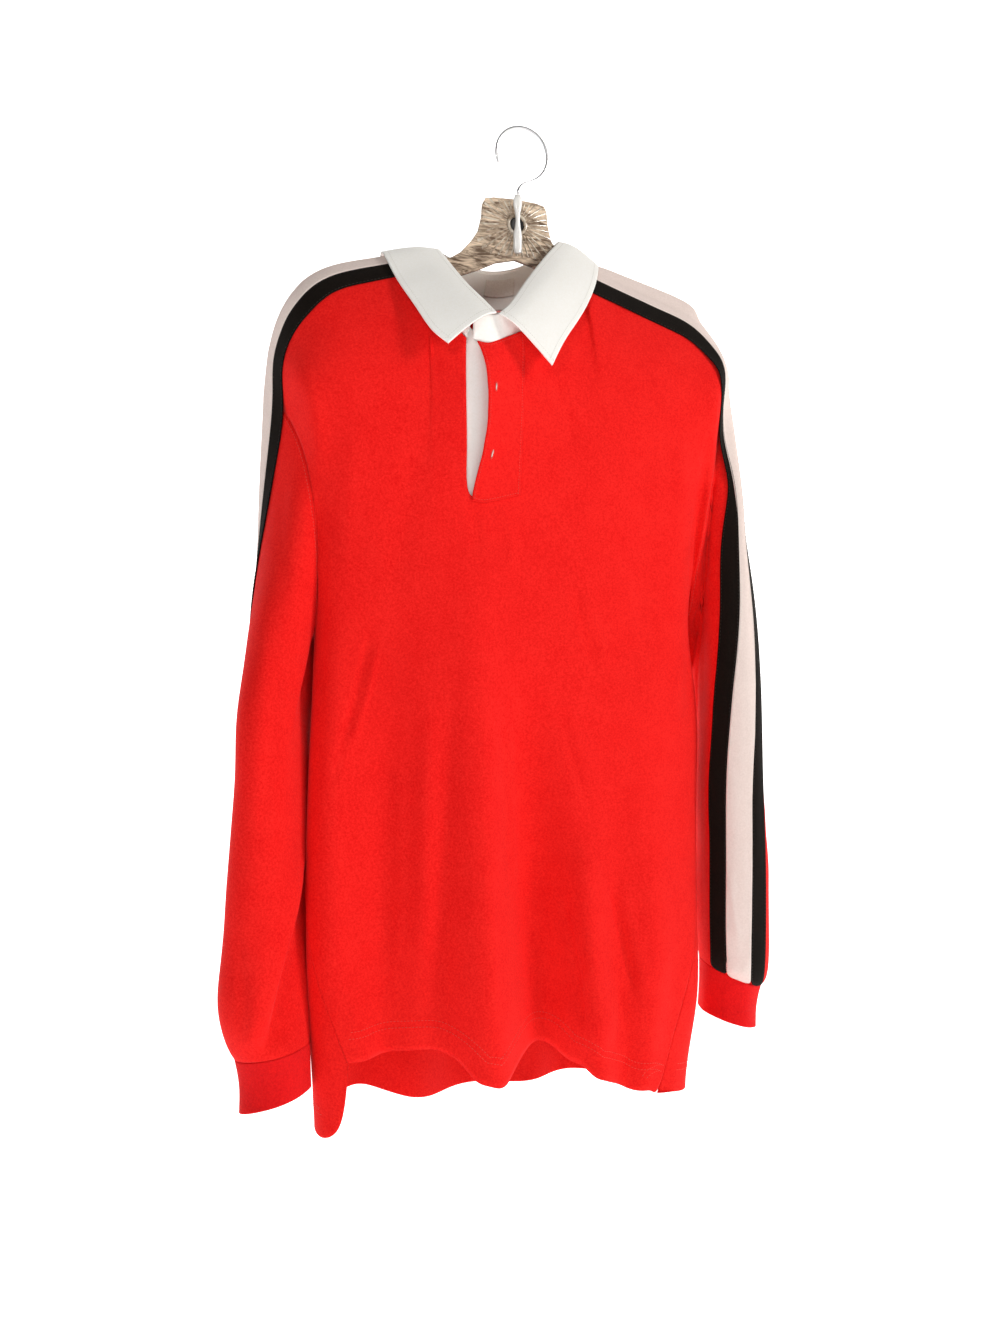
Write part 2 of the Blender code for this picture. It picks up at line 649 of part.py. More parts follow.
# Collar leaf: from the roll line outwards and down to its edge
LEAF_COLUMNS, LEAF_ROWS, LEAF_CROWN = 32, 5, 5.0
leaf = np.zeros((LEAF_ROWS + 1, LEAF_COLUMNS + 1, 3))
for k in range(LEAF_COLUMNS + 1):
    turn = 14 * k / LEAF_COLUMNS
    roll = np.array([COLLAR_ROWS.at("roll_" + axis, turn) for axis in "xyz"])
    edge = np.array([COLLAR_ROWS.at("edge_" + axis, turn) for axis in "xyz"])
    out = unit((roll - NECK_MIDDLE) * np.array([1, 1, 0])) * 0.7 + np.array([0, 0, 0.7])
    for j in range(LEAF_ROWS + 1):
        t = j / LEAF_ROWS
        leaf[j, k] = roll + (edge - roll) * t + out * LEAF_CROWN * math.sin(math.pi * t ** 0.7)
leaf_cloth = Cloth()
leaf_cloth.add(leaf, False, -1)
sheet("collar_leaf", leaf, leaf_cloth.of(leaf), COLLAR, white_knit)

# Placket: the red buttonhole strip over the opening, and the white button strip under it
STRIP_EDGE = Table(  # free edge of the buttonhole strip, in columns from the slit
    ("row", "column"), (0, 0.55), (1, 0.85), (2.2, 1.05), (3.2, 1.05), (4.2, 0.7), (5, 0.3), (5.2, 0.28)
)
STRIP_OVER = 0.35    # how far the strip runs past the opening, in grid cells
STRIP_BOW = 7.0
strip_rows = [0.06, 0.6, 1.4, 2.2, 3.0, 3.8, 4.5, 5.0, 5.16]
over, push = [], []
for row in strip_rows:
    free = SLIT_COLUMN + STRIP_EDGE.at("column", row)
    places = np.linspace(free, STRIP_COLUMN + STRIP_OVER, 6)
    over.append([sample(front, row, c) for c in places])
    bow = STRIP_BOW * math.sin(math.pi * min(row / 5, 1)) ** 0.8
    push.append([bow * (1 - k / 5) ** 1.3 for k in range(6)])
over, push = np.array(over), np.array(push)
over[:, :, 1] -= push + CLOTH + SEAM_GAP + 0.1
strip_cloth = Cloth()
strip_cloth.add(over, False, -1)
sheet("placket_over", over, strip_cloth.of(over), CLOTH, red)

UNDER, UNDER_BACK = 1.2, 2.4
under = patch(front, [0.1, 1, 2, 3, 4, 5, 5.2], SLIT_COLUMN + np.linspace(-0.5, 2.2, 5))
under[:, :, 1] += UNDER_BACK
under_cloth = Cloth()
under_cloth.add(under, False, -1)
sheet("placket_under", under, under_cloth.of(under), UNDER, white_knit)

BUTTON_RADIUS, BUTTON_THICK = 5.5, 2.0
for name, row in (("button_upper", 1.55), ("button_lower", 3.75)):
    seat = sample(front, row, SLIT_COLUMN + 1.6)
    bm = bmesh.new()
    bmesh.ops.create_cone(
        bm, cap_ends=True, segments=20, radius1=BUTTON_RADIUS * MM,
        radius2=BUTTON_RADIUS * 0.9 * MM, depth=BUTTON_THICK * MM,
    )
    for v in bm.verts:
        v.co = (v.co.x, -v.co.z, v.co.y)
    bmesh.ops.recalc_face_normals(bm, faces=bm.faces)
    finished(name, bm, seat + np.array([0, UNDER_BACK - UNDER / 2 - 0.7 - BUTTON_THICK / 2, 0]), button_white)

# Neck tape over the seam, inside the back, and the blank label on the collar's stand
tape_rows, tape_columns = [0.1, 0.55, 1.0], range(NECK_LEFT_COLUMN + 1, NECK_RIGHT_COLUMN)
neck = patch(back, tape_rows, tape_columns)
neck_out = patch(back_normals, tape_rows, tape_columns)
sheet("neck_tape", neck, neck_out, TAPE, white_knit, lift=-(CLOTH / 2 + 2 * SEAM_GAP + TAPE / 2))

LABEL = 0.8
label_at = 4 + (NECK_CELLS / 2) + 0.6
label = patch(stand, [1.0, 1.7, 2.4], label_at + np.linspace(-1.0, 1.35, 6))
label_cloth = Cloth()
label_cloth.add(label, False, 1)
label_normals = label_cloth.of(label)
if np.dot(label_normals[1, 2], NECK_MIDDLE * np.array([1, 1, 0]) - label[1, 2] * np.array([1, 1, 0])) < 0:
    label_normals = -label_normals
sheet("neck_label", label, label_normals, LABEL, label_grey, lift=COLLAR / 2 + SEAM_GAP + LABEL / 2)

# Hanger: one flat moulding, its plate with a hole, its arms lying under the shoulders
HANGER_HALF = 2.0    # half its thickness
ARM_UNDER, ARM_HIGH, ARM_END = 9.4, 15.0, 234.0
HOLE_X, HOLE_Z, HOLE_RADIUS = 2.0, -96.0, 7.5
PLATE = ((0, -71), (22, -72), (31, -74), (34, -80), (35, -93), (38.5, -107), (45, -117), (56, -129.5), (66, -136.0))
UNDERSIDE = ((76, -158), (57, -153), (38, -145), (20, -136), (0, -131))


def hanger_outline():
    side = [np.array(p, float) for p in PLATE]
    run = np.linspace(82, ARM_END, 16)
    tops = [ridge(1, s) for s in run]
    level = np.array([HANGER_X, 0, 0])
    for place, inward in tops:
        p = place + inward * ARM_UNDER - level
        side.append(np.array([p[0], p[2]]))
    for share in (0.15, 0.5, 0.85):
        place, inward = ridge(1, ARM_END + 4 * math.sin(math.pi * share))
        p = place + inward * (ARM_UNDER + ARM_HIGH * share) - level
        side.append(np.array([p[0], p[2]]))
    for place, inward in reversed(tops[1:]):
        p = place + inward * (ARM_UNDER + ARM_HIGH) - level
        side.append(np.array([p[0], p[2]]))
    side += [np.array(p, float) for p in UNDERSIDE]
    mirrored = [np.array([-p[0], p[1]]) for p in reversed(side[1:-1])]
    return side + mirrored


bm = bmesh.new()
loops = []
for points in (
    hanger_outline(),
    [(HOLE_X + HOLE_RADIUS * math.cos(a), HOLE_Z + HOLE_RADIUS * math.sin(a))
     for a in np.linspace(0, 2 * math.pi, 21)[:-1]],
):
    ring = [bm.verts.new((x * MM, -HANGER_HALF * MM, z * MM)) for x, z in points]
    loops += [bm.edges.new((a, b)) for a, b in zip(ring, ring[1:] + ring[:1])]
filled = bmesh.ops.triangle_fill(bm, edges=loops, use_beauty=True)
faces = [f for f in filled["geom"] if isinstance(f, bmesh.types.BMFace)]
swept = bmesh.ops.extrude_face_region(bm, geom=faces)
bmesh.ops.translate(
    bm, vec=(0, 2 * HANGER_HALF * MM, 0),
    verts=[v for v in swept["geom"] if isinstance(v, bmesh.types.BMVert)],
)
bmesh.ops.recalc_face_normals(bm, faces=bm.faces)
finished("hanger_body", bm, (HANGER_X, 0, 0), clear_plastic)


def turned(name, profile, middle, made):
    """A round bar on the Z axis: rows of (radius, height), closed at its ends."""
    bm = bmesh.new()
    count = 14
    rings = []
    for radius, height in profile:
        ring = []
        for k in range(count):
            a = 2 * math.pi * k / count
            ring.append(bm.verts.new((radius * math.cos(a) * MM, radius * math.sin(a) * MM, height * MM)))
        rings.append(ring)
    for low, high in zip(rings, rings[1:]):
        for k in range(count):
            n = (k + 1) % count
            bm.faces.new((low[k], low[n], high[n], high[k]))
    bm.faces.new(list(reversed(rings[0])))
    bm.faces.new(rings[-1])
    bmesh.ops.recalc_face_normals(bm, faces=bm.faces)
    return finished(name, bm, middle, made)


# The stem on the plate's front carries the hook's wire
STEM_X, STEM_Y = HANGER_X + 1, -(HANGER_HALF + SEAM_GAP + 4.2)
STEM = ((1.5, -126), (3.6, -124), (4.0, -108), (2.4, -98), (2.4, -88), (4.0, -80), (4.1, -74), (3.4, -68))
turned("hanger_stem", STEM, (STEM_X, STEM_Y, 0), clear_plastic)

# Hook: bent wire; its inner top is the origin, where it hangs
WIRE, HOOK_RADIUS = 1.6, 27.0
hook_path = [(STEM_X, STEM_Y, -68 + SEAM_GAP), (STEM_X + 1, STEM_Y + 0.5, -62)]
hook_path += [(STEM_X + 6, STEM_Y + 1.8, -56.5), (8, -2.6, -52.2)]
middle_z = WIRE - HOOK_RADIUS
for angle in np.linspace(math.radians(-52), math.radians(205), 22):
    hook_path.append((HOOK_RADIUS * math.cos(angle), 0, middle_z + HOOK_RADIUS * math.sin(angle)))
spline = bpy.data.curves.new("hanger_hook", "CURVE")
spline.dimensions = "3D"
spline.bevel_depth = WIRE * MM
spline.bevel_resolution = 2
spline.use_fill_caps = True
line = spline.splines.new("POLY")
line.points.add(len(hook_path) - 1)
for point, place in zip(line.points, hook_path):
    point.co = (*(float(v) * MM for v in place), 1)
spline.materials.append(hook_steel)
hook = bpy.data.objects.new("hanger_hook", spline)
bpy.context.scene.collection.objects.link(hook)
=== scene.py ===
"""A long-sleeved red rugby shirt with a white collar, on a clear plastic hanger.

The sections follow the order in which it is put together: the hanger, the knit body and
sleeves, the cuffs, the tapes, the placket, the collar, the stitching, then the studio.
"""

import math

import bmesh
import bpy
import numpy as np
from mathutils import Matrix, Vector
from mathutils.bvhtree import BVHTree
from mathutils.kdtree import KDTree


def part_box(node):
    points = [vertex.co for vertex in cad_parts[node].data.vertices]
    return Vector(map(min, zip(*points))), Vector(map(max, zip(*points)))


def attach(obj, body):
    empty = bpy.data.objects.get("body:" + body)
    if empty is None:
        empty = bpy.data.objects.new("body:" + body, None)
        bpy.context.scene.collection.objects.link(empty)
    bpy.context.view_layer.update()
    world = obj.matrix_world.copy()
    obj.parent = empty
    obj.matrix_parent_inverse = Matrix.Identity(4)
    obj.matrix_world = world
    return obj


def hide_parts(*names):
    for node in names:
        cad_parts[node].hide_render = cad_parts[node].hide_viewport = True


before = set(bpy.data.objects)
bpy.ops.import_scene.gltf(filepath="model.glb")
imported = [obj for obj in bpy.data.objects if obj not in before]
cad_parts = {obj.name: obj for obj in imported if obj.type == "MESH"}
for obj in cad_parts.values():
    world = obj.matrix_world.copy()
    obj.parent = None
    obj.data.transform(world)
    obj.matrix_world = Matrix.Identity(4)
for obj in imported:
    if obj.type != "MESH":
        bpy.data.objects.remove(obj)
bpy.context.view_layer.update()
MM = 0.001

# Hanger: one flat moulding of smoky clear plastic, with rounded edges and ribs that fan
# out from the hole in its plate; a clear stem on its front carries a bent steel wire.
WIRE_STEEL = (0.66, 0.66, 0.67)
HOLE = (-6.0, -96.0)  # middle of the hole in the plate: across and up, in millimetres
AHEAD = -50.0  # well before the plate, from where its front is looked for


def shown(name, bm, *made, smooth=True):
    """A new object at the origin from a bmesh whose points are already in place."""
    mesh = bpy.data.meshes.new(name)
    bm.to_mesh(mesh)
    bm.free()
    for one in made:
        mesh.materials.append(one)
    mesh.shade_smooth() if smooth else mesh.shade_flat()
    obj = bpy.data.objects.new(name, mesh)
    bpy.context.scene.collection.objects.link(obj)
    return obj


def node_copy(name):
    """A merged copy of a solid's mesh, in place."""
    bm = bmesh.new()
    bm.from_mesh(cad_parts[name].data)
    bmesh.ops.remove_doubles(bm, verts=bm.verts, dist=0.002 * MM)
    return bm


def new_material(name, colour, roughness, **sockets):
    made = bpy.data.materials.new(name)
    made.use_nodes = True
    shader = made.node_tree.nodes["Principled BSDF"]
    shader.inputs["Base Color"].default_value = (*colour, 1)
    shader.inputs["Roughness"].default_value = roughness
    for socket, value in sockets.items():
        shader.inputs[socket.replace("_", " ")].default_value = value
    return made, made.node_tree, shader


def link(tree, source, target):
    tree.links.new(source, target)


def node(tree, kind, **settings):
    made = tree.nodes.new("ShaderNode" + kind)
    for key, value in settings.items():
        if key in made.bl_rna.properties:
            setattr(made, key, value)
        else:
            made.inputs[key.replace("_", " ")].default_value = value
    return made


def two_tones(tree, shader, source, dark, light, low=0.0, high=1.0):
    """Colours the shader from dark to light as this value goes from low to high."""
    tones = node(tree, "ValToRGB")
    tones.color_ramp.elements[0].position, tones.color_ramp.elements[1].position = low, high
    tones.color_ramp.elements[0].color = (*dark, 1)
    tones.color_ramp.elements[1].color = (*light, 1)
    link(tree, source, tones.inputs["Fac"])
    link(tree, tones.outputs["Color"], shader.inputs["Base Color"])


def bumpy(tree, shader, source, strength, depth):
    """Raises the shader's surface by this value, up to this depth in millimetres."""
    bump = node(tree, "Bump", Strength=strength, Distance=depth * MM)
    link(tree, source, bump.inputs["Height"])
    link(tree, bump.outputs["Normal"], shader.inputs["Normal"])


def clear_plastic(name, dark, light, stretch, scale):
    """Clear moulded plastic, drawn opaque: the streaks of light and shade that it makes by
    reflecting and bending light are painted into its colour in two tones, as painted highlights
    and painted shade.
    """
    made, tree, shader = new_material(
        name, light, 0.14, Coat_Weight=0.6, Coat_Roughness=0.06, IOR=1.49
    )
    place = node(tree, "TexCoord")
    turned = node(tree, "Mapping", Scale=stretch)
    link(tree, place.outputs["Object"], turned.inputs["Vector"])
    # painted highlights and painted shade: streaks of the light in the clear plastic, also used
    # as a faint bump
    painted_light_streaks = node(tree, "TexNoise", Scale=scale, Detail=4.0, Roughness=0.6, Distortion=0.6)
    link(tree, turned.outputs["Vector"], painted_light_streaks.inputs["Vector"])
    two_tones(tree, shader, painted_light_streaks.outputs["Fac"], dark, light, 0.38, 0.64)
    bumpy(tree, shader, painted_light_streaks.outputs["Fac"], 0.35, 0.6)
    return made


def scuffed(name, colour, scale, detail, smoothest, roughest, **sockets):
    """A material of one colour, worn unevenly smooth by handling."""
    made, tree, shader = new_material(name, colour, smoothest, **sockets)
    place = node(tree, "TexCoord")
    dust = node(tree, "TexNoise", Scale=scale, Detail=detail)
    link(tree, place.outputs["Object"], dust.inputs["Vector"])
    worn = node(tree, "MapRange", To_Min=smoothest, To_Max=roughest)
    link(tree, dust.outputs["Fac"], worn.inputs["Value"])
    link(tree, worn.outputs["Result"], shader.inputs["Roughness"])
    return made


def turned_shape(outline, steps, closed=False):
    """A shape turned about the front-to-back axis, from the radius and height of each
    point of its outline in millimetres."""
    bm = bmesh.new()
    line = [bm.verts.new((radius * MM, -height * MM, 0)) for radius, height in outline]
    edges = [bm.edges.new(pair) for pair in zip(line, line[1:])]
    if closed:
        edges.append(bm.edges.new((line[-1], line[0])))
    bmesh.ops.spin(
        bm, geom=line + edges, cent=(0, 0, 0), axis=(0, 1, 0),
        angle=2 * math.pi, steps=steps, use_merge=True,
    )
    bmesh.ops.remove_doubles(bm, verts=bm.verts, dist=0.01 * MM)
    bmesh.ops.recalc_face_normals(bm, faces=bm.faces)
    return bm


smoky = clear_plastic(
    "clear_plastic", (0.16, 0.105, 0.07), (0.88, 0.69, 0.51), (0.35, 1.0, 1.6), 170.0
)
# the ribs and the ring round the hole are painted in lighter streaked tones than the plate:
# painted highlights for the light that the clear ribs catch
highlit_rib_plastic = clear_plastic(
    "clear_plastic_ribs", (0.34, 0.25, 0.17), (0.84, 0.75, 0.62), (1, 1, 1), 90.0
)
# the clear stem is painted near white, a painted highlight for the light that shines in it
highlit_stem_plastic = clear_plastic(
    "clear_plastic_stem", (0.80, 0.78, 0.74), (0.93, 0.92, 0.90), (1, 1, 0.5), 120.0
)
RIM_ROUND = 0.9
bm = node_copy("hanger_body")
plate_side = BVHTree.FromBMesh(bm)
bmesh.ops.dissolve_limit(bm, angle_limit=math.radians(1), verts=bm.verts, edges=bm.edges)
rim = [e for e in bm.edges if len(e.link_faces) == 2 and e.calc_face_angle() > math.radians(60)]
bmesh.ops.bevel(
    bm, geom=rim, offset=RIM_ROUND * MM, segments=3, profile=0.5, affect="EDGES", material=-1
)
bmesh.ops.triangulate(bm, faces=bm.faces)
moulding = shown("hanger_moulding", bm, smoky, smooth=False)
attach(moulding, "root")
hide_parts("hanger_body")

# the ribs run from the hole as far as the plate reaches, and widen as they go
RIB_COUNT, RIB_START, RIB_LONGEST, RIB_SHORTEST = 34, 11.0, 46.0, 3
RIB_PROUD, RIB_WIDENING, RIB_ROUND, RIB_CLEAR = 0.8, 0.09, 0.18, 1.5
PLATE_TOP, PLATE_LOW = -74.0, -128.0
bm = bmesh.new()
for k in range(RIB_COUNT):
    angle = 2 * math.pi * (k + 0.5) / RIB_COUNT
    way = Vector((math.cos(angle), 0, math.sin(angle)))
    reach, front_y = RIB_START, None
    while reach < RIB_LONGEST:
        there = Vector((HOLE[0] * MM, AHEAD * MM, HOLE[1] * MM)) + way * (reach + RIB_CLEAR) * MM
        met = plate_side.ray_cast(there, Vector((0, 1, 0)))[0]
        if met is None or not PLATE_LOW < met.z / MM < PLATE_TOP:
            break
        front_y = met.y
        reach += 1
    if front_y is None or reach - RIB_START < RIB_SHORTEST:
        continue
    rib = bmesh.ops.create_cube(bm, size=1)["verts"]
    for v in rib:
        outer = v.co.x > 0
        end = reach if outer else RIB_START
        v.co = Vector((
            end * MM,
            v.co.y * 2 * RIB_PROUD * MM * (0.5 if outer else 1.0),
            v.co.z * (RIB_WIDENING * end) * MM * (1 if v.co.y > 0 else 0.35),
        ))
    bmesh.ops.rotate(bm, verts=rib, cent=(0, 0, 0), matrix=Matrix.Rotation(-angle, 3, "Y"))
    bmesh.ops.translate(bm, verts=rib, vec=(HOLE[0] * MM, front_y, HOLE[1] * MM))
bmesh.ops.bevel(
    bm, geom=bm.edges[:], offset=RIB_ROUND * MM, segments=2, profile=0.5, affect="EDGES",
    material=-1,
)
ribs = shown("hanger_ribs", bm, highlit_rib_plastic)
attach(ribs, "root")

# the raised ring about the hole, and a dark disc set in the hole behind it, so that the hole
# shows dark
dark_hole_disc = scuffed("hole_disc_black", (0.012, 0.010, 0.009), 500.0, 3.0, 0.3, 0.6)
BESIDE_HOLE = -18.0
beside = Vector((BESIDE_HOLE * MM, AHEAD * MM, HOLE[1] * MM))
plate_front = plate_side.ray_cast(beside, Vector((0, 1, 0)))[0].y
RING = ((7.6, 0.2), (7.6, 1.1), (8.4, 1.6), (9.8, 1.5), (10.6, 0.9), (10.8, 0.1))
HOLE_DISC = ((0.0, -1.6), (5.4, -1.6), (6.6, -1.2), (7.4, -0.6), (7.4, -2.2), (0.0, -2.2))
for name, outline, made in (
    ("hanger_ring", RING, highlit_rib_plastic),
    ("hanger_socket", HOLE_DISC, dark_hole_disc),
):
    bm = turned_shape(outline, 40, closed=outline is RING)
    bmesh.ops.translate(bm, verts=bm.verts, vec=(HOLE[0] * MM, plate_front, HOLE[1] * MM))
    piece = shown(name, bm, made)
    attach(piece, "root")

# the stem, pear-shaped at its top, waisted over the hole and square below
low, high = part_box("hanger_stem")
STEM = (  # distance down from its top and half its width, in millimetres
    (0.0, 0.6), (1.0, 3.0), (6.0, 4.6), (11.0, 4.4), (18.0, 2.6), (26.0, 2.1),
    (33.0, 3.2), (38.0, 4.4), (52.0, 4.5), (56.0, 3.9), (57.0, 2.6),
)
STEM_HALF_DEPTH, SQUARED = 2.4, 0.75
bm = bmesh.new()
rings = []
for down, half in STEM:
    ring = bmesh.ops.create_circle(bm, cap_ends=False, segments=20, radius=1)["verts"]
    for v in ring:
        side = abs(v.co.x) ** SQUARED * math.copysign(1, v.co.x)
        v.co = Vector((
            (low.x + high.x) / 2 + side * half * MM,
            (low.y + high.y) / 2 + v.co.y * min(half, STEM_HALF_DEPTH) * MM,
            high.z - down * (high.z - low.z) / STEM[-1][0],
        ))
    rings.append(ring)
bmesh.ops.bridge_loops(bm, edges=bm.edges[:])
for ring in (rings[0], rings[-1]):
    end = [e for e in bm.edges if all(v in ring for v in e.verts)]
    bmesh.ops.contextual_create(bm, geom=end)
bmesh.ops.recalc_face_normals(bm, faces=bm.faces)
stem = shown("hanger_stem_moulded", bm, highlit_stem_plastic)
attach(stem, "root")
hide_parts("hanger_stem")

steel = scuffed("hook_steel", WIRE_STEEL, 900.0, 2.0, 0.20, 0.40, Metallic=1.0)
bm = node_copy("hanger_hook")
hook = shown("hanger_hook_wire", bm, steel)
rounding = hook.modifiers.new("rounding", "SUBSURF")
rounding.levels = rounding.render_levels = 2
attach(hook, "root")
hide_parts("hanger_hook")

# Body and sleeves: mid-weight red cotton knit, cut as a front, a back and two sleeves,
# sewn at the shoulders, armholes and sides, and hanging in soft folds from the hanger.
RED = (0.93, 0.019, 0.014)
KNIT_THICK = 1.4
WALE, COURSE = 1.25, 0.95  # width and height of one stitch


def outer_wall(name, thick):
    """The outer side of a solid made as a wall of cloth, as a mesh of quads."""
    bm = node_copy(name)
    across = [  # the faces of its rim have an edge as long as the wall is thick
        f for f in bm.faces
        if any(abs(e.calc_length() / MM - thick) < 0.03 * thick for e in f.edges)
    ]
    bmesh.ops.delete(bm, geom=across, context="FACES")
    sides, reached = [], set()
    for start in bm.faces:
        if start in reached:
            continue
        reached.add(start)
        side, queue = [], [start]
        while queue:
            face = queue.pop()
            side.append(face)
            for edge in face.edges:
                for other in edge.link_faces:
                    if other not in reached:
                        reached.add(other)
                        queue.append(other)
        sides.append(side)
    sides.sort(key=lambda side: sum(f.calc_area() for f in side))
    for side in sides[:-1]:
        bmesh.ops.delete(bm, geom=side, context="FACES")
    loose = [v for v in bm.verts if not v.link_faces]
    bmesh.ops.delete(bm, geom=loose, context="VERTS")
    bmesh.ops.join_triangles(
        bm, faces=bm.faces,
        angle_face_threshold=math.radians(60), angle_shape_threshold=math.radians(80),
        cmp_seam=False, cmp_sharp=False, cmp_uvs=False, cmp_vcols=False, cmp_materials=False,
    )
    return bm


def refined(bm, levels):
    """The same surface, subdivided and smooth, still passing near its own points."""
    coarse = bpy.data.meshes.new("coarse")
    bm.to_mesh(coarse)
    bm.free()
    holder = bpy.data.objects.new("coarse", coarse)
    bpy.context.scene.collection.objects.link(holder)
    smooth = holder.modifiers.new("smooth", "SUBSURF")
    smooth.levels = smooth.render_levels = levels
    smooth.boundary_smooth = "PRESERVE_CORNERS"
    count = len(coarse.vertices)
    wanted = np.empty(count * 3, np.float32)
    coarse.vertices.foreach_get("co", wanted)
    now = wanted.copy()
    for _ in range(2):
        graph = bpy.context.evaluated_depsgraph_get()
        made = holder.evaluated_get(graph).to_mesh()
        reached = np.empty(len(made.vertices) * 3, np.float32)
        made.vertices.foreach_get("co", reached)
        now += 0.8 * (wanted - reached[: count * 3])
        coarse.vertices.foreach_set("co", now)
        coarse.update()
        bpy.context.view_layer.update()
    graph = bpy.context.evaluated_depsgraph_get()
    fine = bpy.data.meshes.new_from_object(holder.evaluated_get(graph))
    bpy.data.objects.remove(holder)
    fine.shade_smooth()
    return fine


def points_of(mesh):
    flat = np.empty(len(mesh.vertices) * 3, np.float32)
    mesh.vertices.foreach_get("co", flat)
    return flat.reshape(-1, 3).astype(float)


def normals_of(mesh):
    flat = np.empty(len(mesh.vertices) * 3, np.float32)
    mesh.vertex_normals.foreach_get("vector", flat)
    return flat.reshape(-1, 3).astype(float)


def set_points(mesh, points):
    mesh.vertices.foreach_set("co", points.astype(np.float32).ravel())
    mesh.update()


def edge_fade(mesh, reach):
    """0 on the border of a piece and 1 from this far inside it, in metres."""
    bm = bmesh.new()
    bm.from_mesh(mesh)
    rim = [v.co.copy() for v in bm.verts if v.is_boundary]
    bm.free()
    if not rim:
        return np.ones(len(mesh.vertices))
    tree = KDTree(len(rim))
    for k, co in enumerate(rim):
        tree.insert(co, k)
    tree.balance()
    away = np.array([tree.find(v.co)[2] for v in mesh.vertices])
    share = np.clip(away / reach, 0, 1)
    return share * share * (3 - 2 * share)


# where the shirt is seen from, how far that view turns to the right, and its picture
EYE, TURN = (-0.408561, -1.059034, -0.530443), math.radians(20)
FOCUS, MIDDLE = 1150.0, (500.0, 666.5)


def seen(points):
    """Where each point shows from the front, in thousandths of the picture's width."""
    away = points - np.array(EYE)
    depth = away @ np.array((math.sin(TURN), math.cos(TURN), 0))
    across = away @ np.array((math.cos(TURN), -math.sin(TURN), 0))
    rise = away[:, 2] / depth
    return np.stack([MIDDLE[0] + FOCUS * across / depth, MIDDLE[1] - FOCUS * rise], -1)


FADING = 0.22  # part of a fold's length over which it fades at each end


def folded(at, folds):
    """How far these folds move the cloth, in metres. Each row has its height, its widths
    to the left and right of its line, and the points of that line; it fades at its ends."""
    push = np.zeros(len(at))
    for height, left, right, *line in folds:
        line = np.array(line, float)
        steps = np.diff(line, axis=0)
        lengths = np.hypot(*steps.T)
        before = np.concatenate([[0], np.cumsum(lengths)])
        best = np.full(len(at), 1e9)
        off, along = np.zeros(len(at)), np.zeros(len(at))
        for k, (step, length) in enumerate(zip(steps, lengths)):
            run = step / length
            share = np.clip((at - line[k]) @ run, 0, length)
            away = at - (line[k] + share[:, None] * run)
            distance = np.hypot(*away.T)
            nearer = distance < best
            best = np.where(nearer, distance, best)
            side = np.sign(away[:, 0] * run[1] - away[:, 1] * run[0])
            off = np.where(nearer, side * distance, off)
            along = np.where(nearer, (before[k] + share) / before[-1], along)
        width = np.where(off < 0, left, right)
        ends = np.clip(np.minimum(along, 1 - along) / FADING, 0, 1)
        push += height * MM * ends * ends * (3 - 2 * ends) * np.exp(-((off / width) ** 2))
    return push


def box_uv(mesh):
    """UVs in metres: across and down the cloth, from whichever way each face looks."""
    uv = mesh.uv_layers.new(name="weave")
    points = points_of(mesh)
    loops = np.empty(len(mesh.loops), np.int32)
    mesh.loops.foreach_get("vertex_index", loops)
    totals = np.empty(len(mesh.polygons), np.int32)
    normals = np.empty(len(mesh.polygons) * 3, np.float32)
    mesh.polygons.foreach_get("loop_total", totals)
    mesh.polygons.foreach_get("normal", normals)
    normals = np.repeat(abs(normals.reshape(-1, 3)), totals, axis=0)
    p = points[loops]
    u = np.where(normals[:, 1] >= normals[:, 0], p[:, 0], p[:, 1])
    v = np.where(normals[:, 2] > 0.8, p[:, 1], p[:, 2])
    uv.data.foreach_set("uv", np.stack([u, v], -1).astype(np.float32).ravel())


LEVEL = 0.03  # metres of height that share one middle when a tube is measured round


def wrapped_uv(mesh, around):
    """UVs in metres on a tube: round it from its middle line, and down it."""
    uv = mesh.uv_layers.new(name="weave")
    points = points_of(mesh)
    levels = np.round(points[:, 2] / LEVEL)
    middle = np.zeros((len(points), 2))
    for level in np.unique(levels):
        at = levels == level
        middle[at] = points[at][:, :2].mean(axis=0)
    angle = np.arctan2(points[:, 1] - middle[:, 1], points[:, 0] - middle[:, 0])
    flat = np.zeros((len(mesh.loops), 2), np.float32)
    for face in mesh.polygons:
        first = angle[face.vertices[0]]
        for k in face.loop_indices:
            v = mesh.loops[k].vertex_index
            turn = (angle[v] - first + math.pi) % (2 * math.pi) - math.pi
            flat[k] = ((first + turn) * around / (2 * math.pi), points[v, 2])
    uv.data.foreach_set("uv", flat.ravel())


def to_faces(v):
    """The way from a point to the middle of the faces round it."""
    middle = sum((f.calc_center_median() for f in v.link_faces), Vector()) / len(v.link_faces)
    return middle - v.co


def spread(mesh, by):
    """Moves a sheet's border outwards in its own surface, to close up to its neighbour."""
    bm = bmesh.new()
    bm.from_mesh(mesh)
    moves = []
    for v in bm.verts:
        if v.is_boundary:
            inward = to_faces(v)
            inward -= inward.dot(v.normal) * v.normal
            moves.append((v, -inward.normalized() * by * MM))
    for v, move in moves:
        v.co += move
    bm.to_mesh(mesh)
    bm.free()


def cloth_piece(name, mesh, made, thick, *nodes, slot):
    """A finished sheet of cloth: its wall goes inwards from the mesh."""
    mesh.materials.clear()
    mesh.materials.append(made)
    obj = bpy.data.objects.new(name, mesh)
    mesh.name = name
    bpy.context.scene.collection.objects.link(obj)
    wall = obj.modifiers.new("wall", "SOLIDIFY")
    wall.thickness = thick * MM
    wall.offset = -1
    wall.use_even_offset = False
    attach(obj, "root")
    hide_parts(*nodes)
    return obj


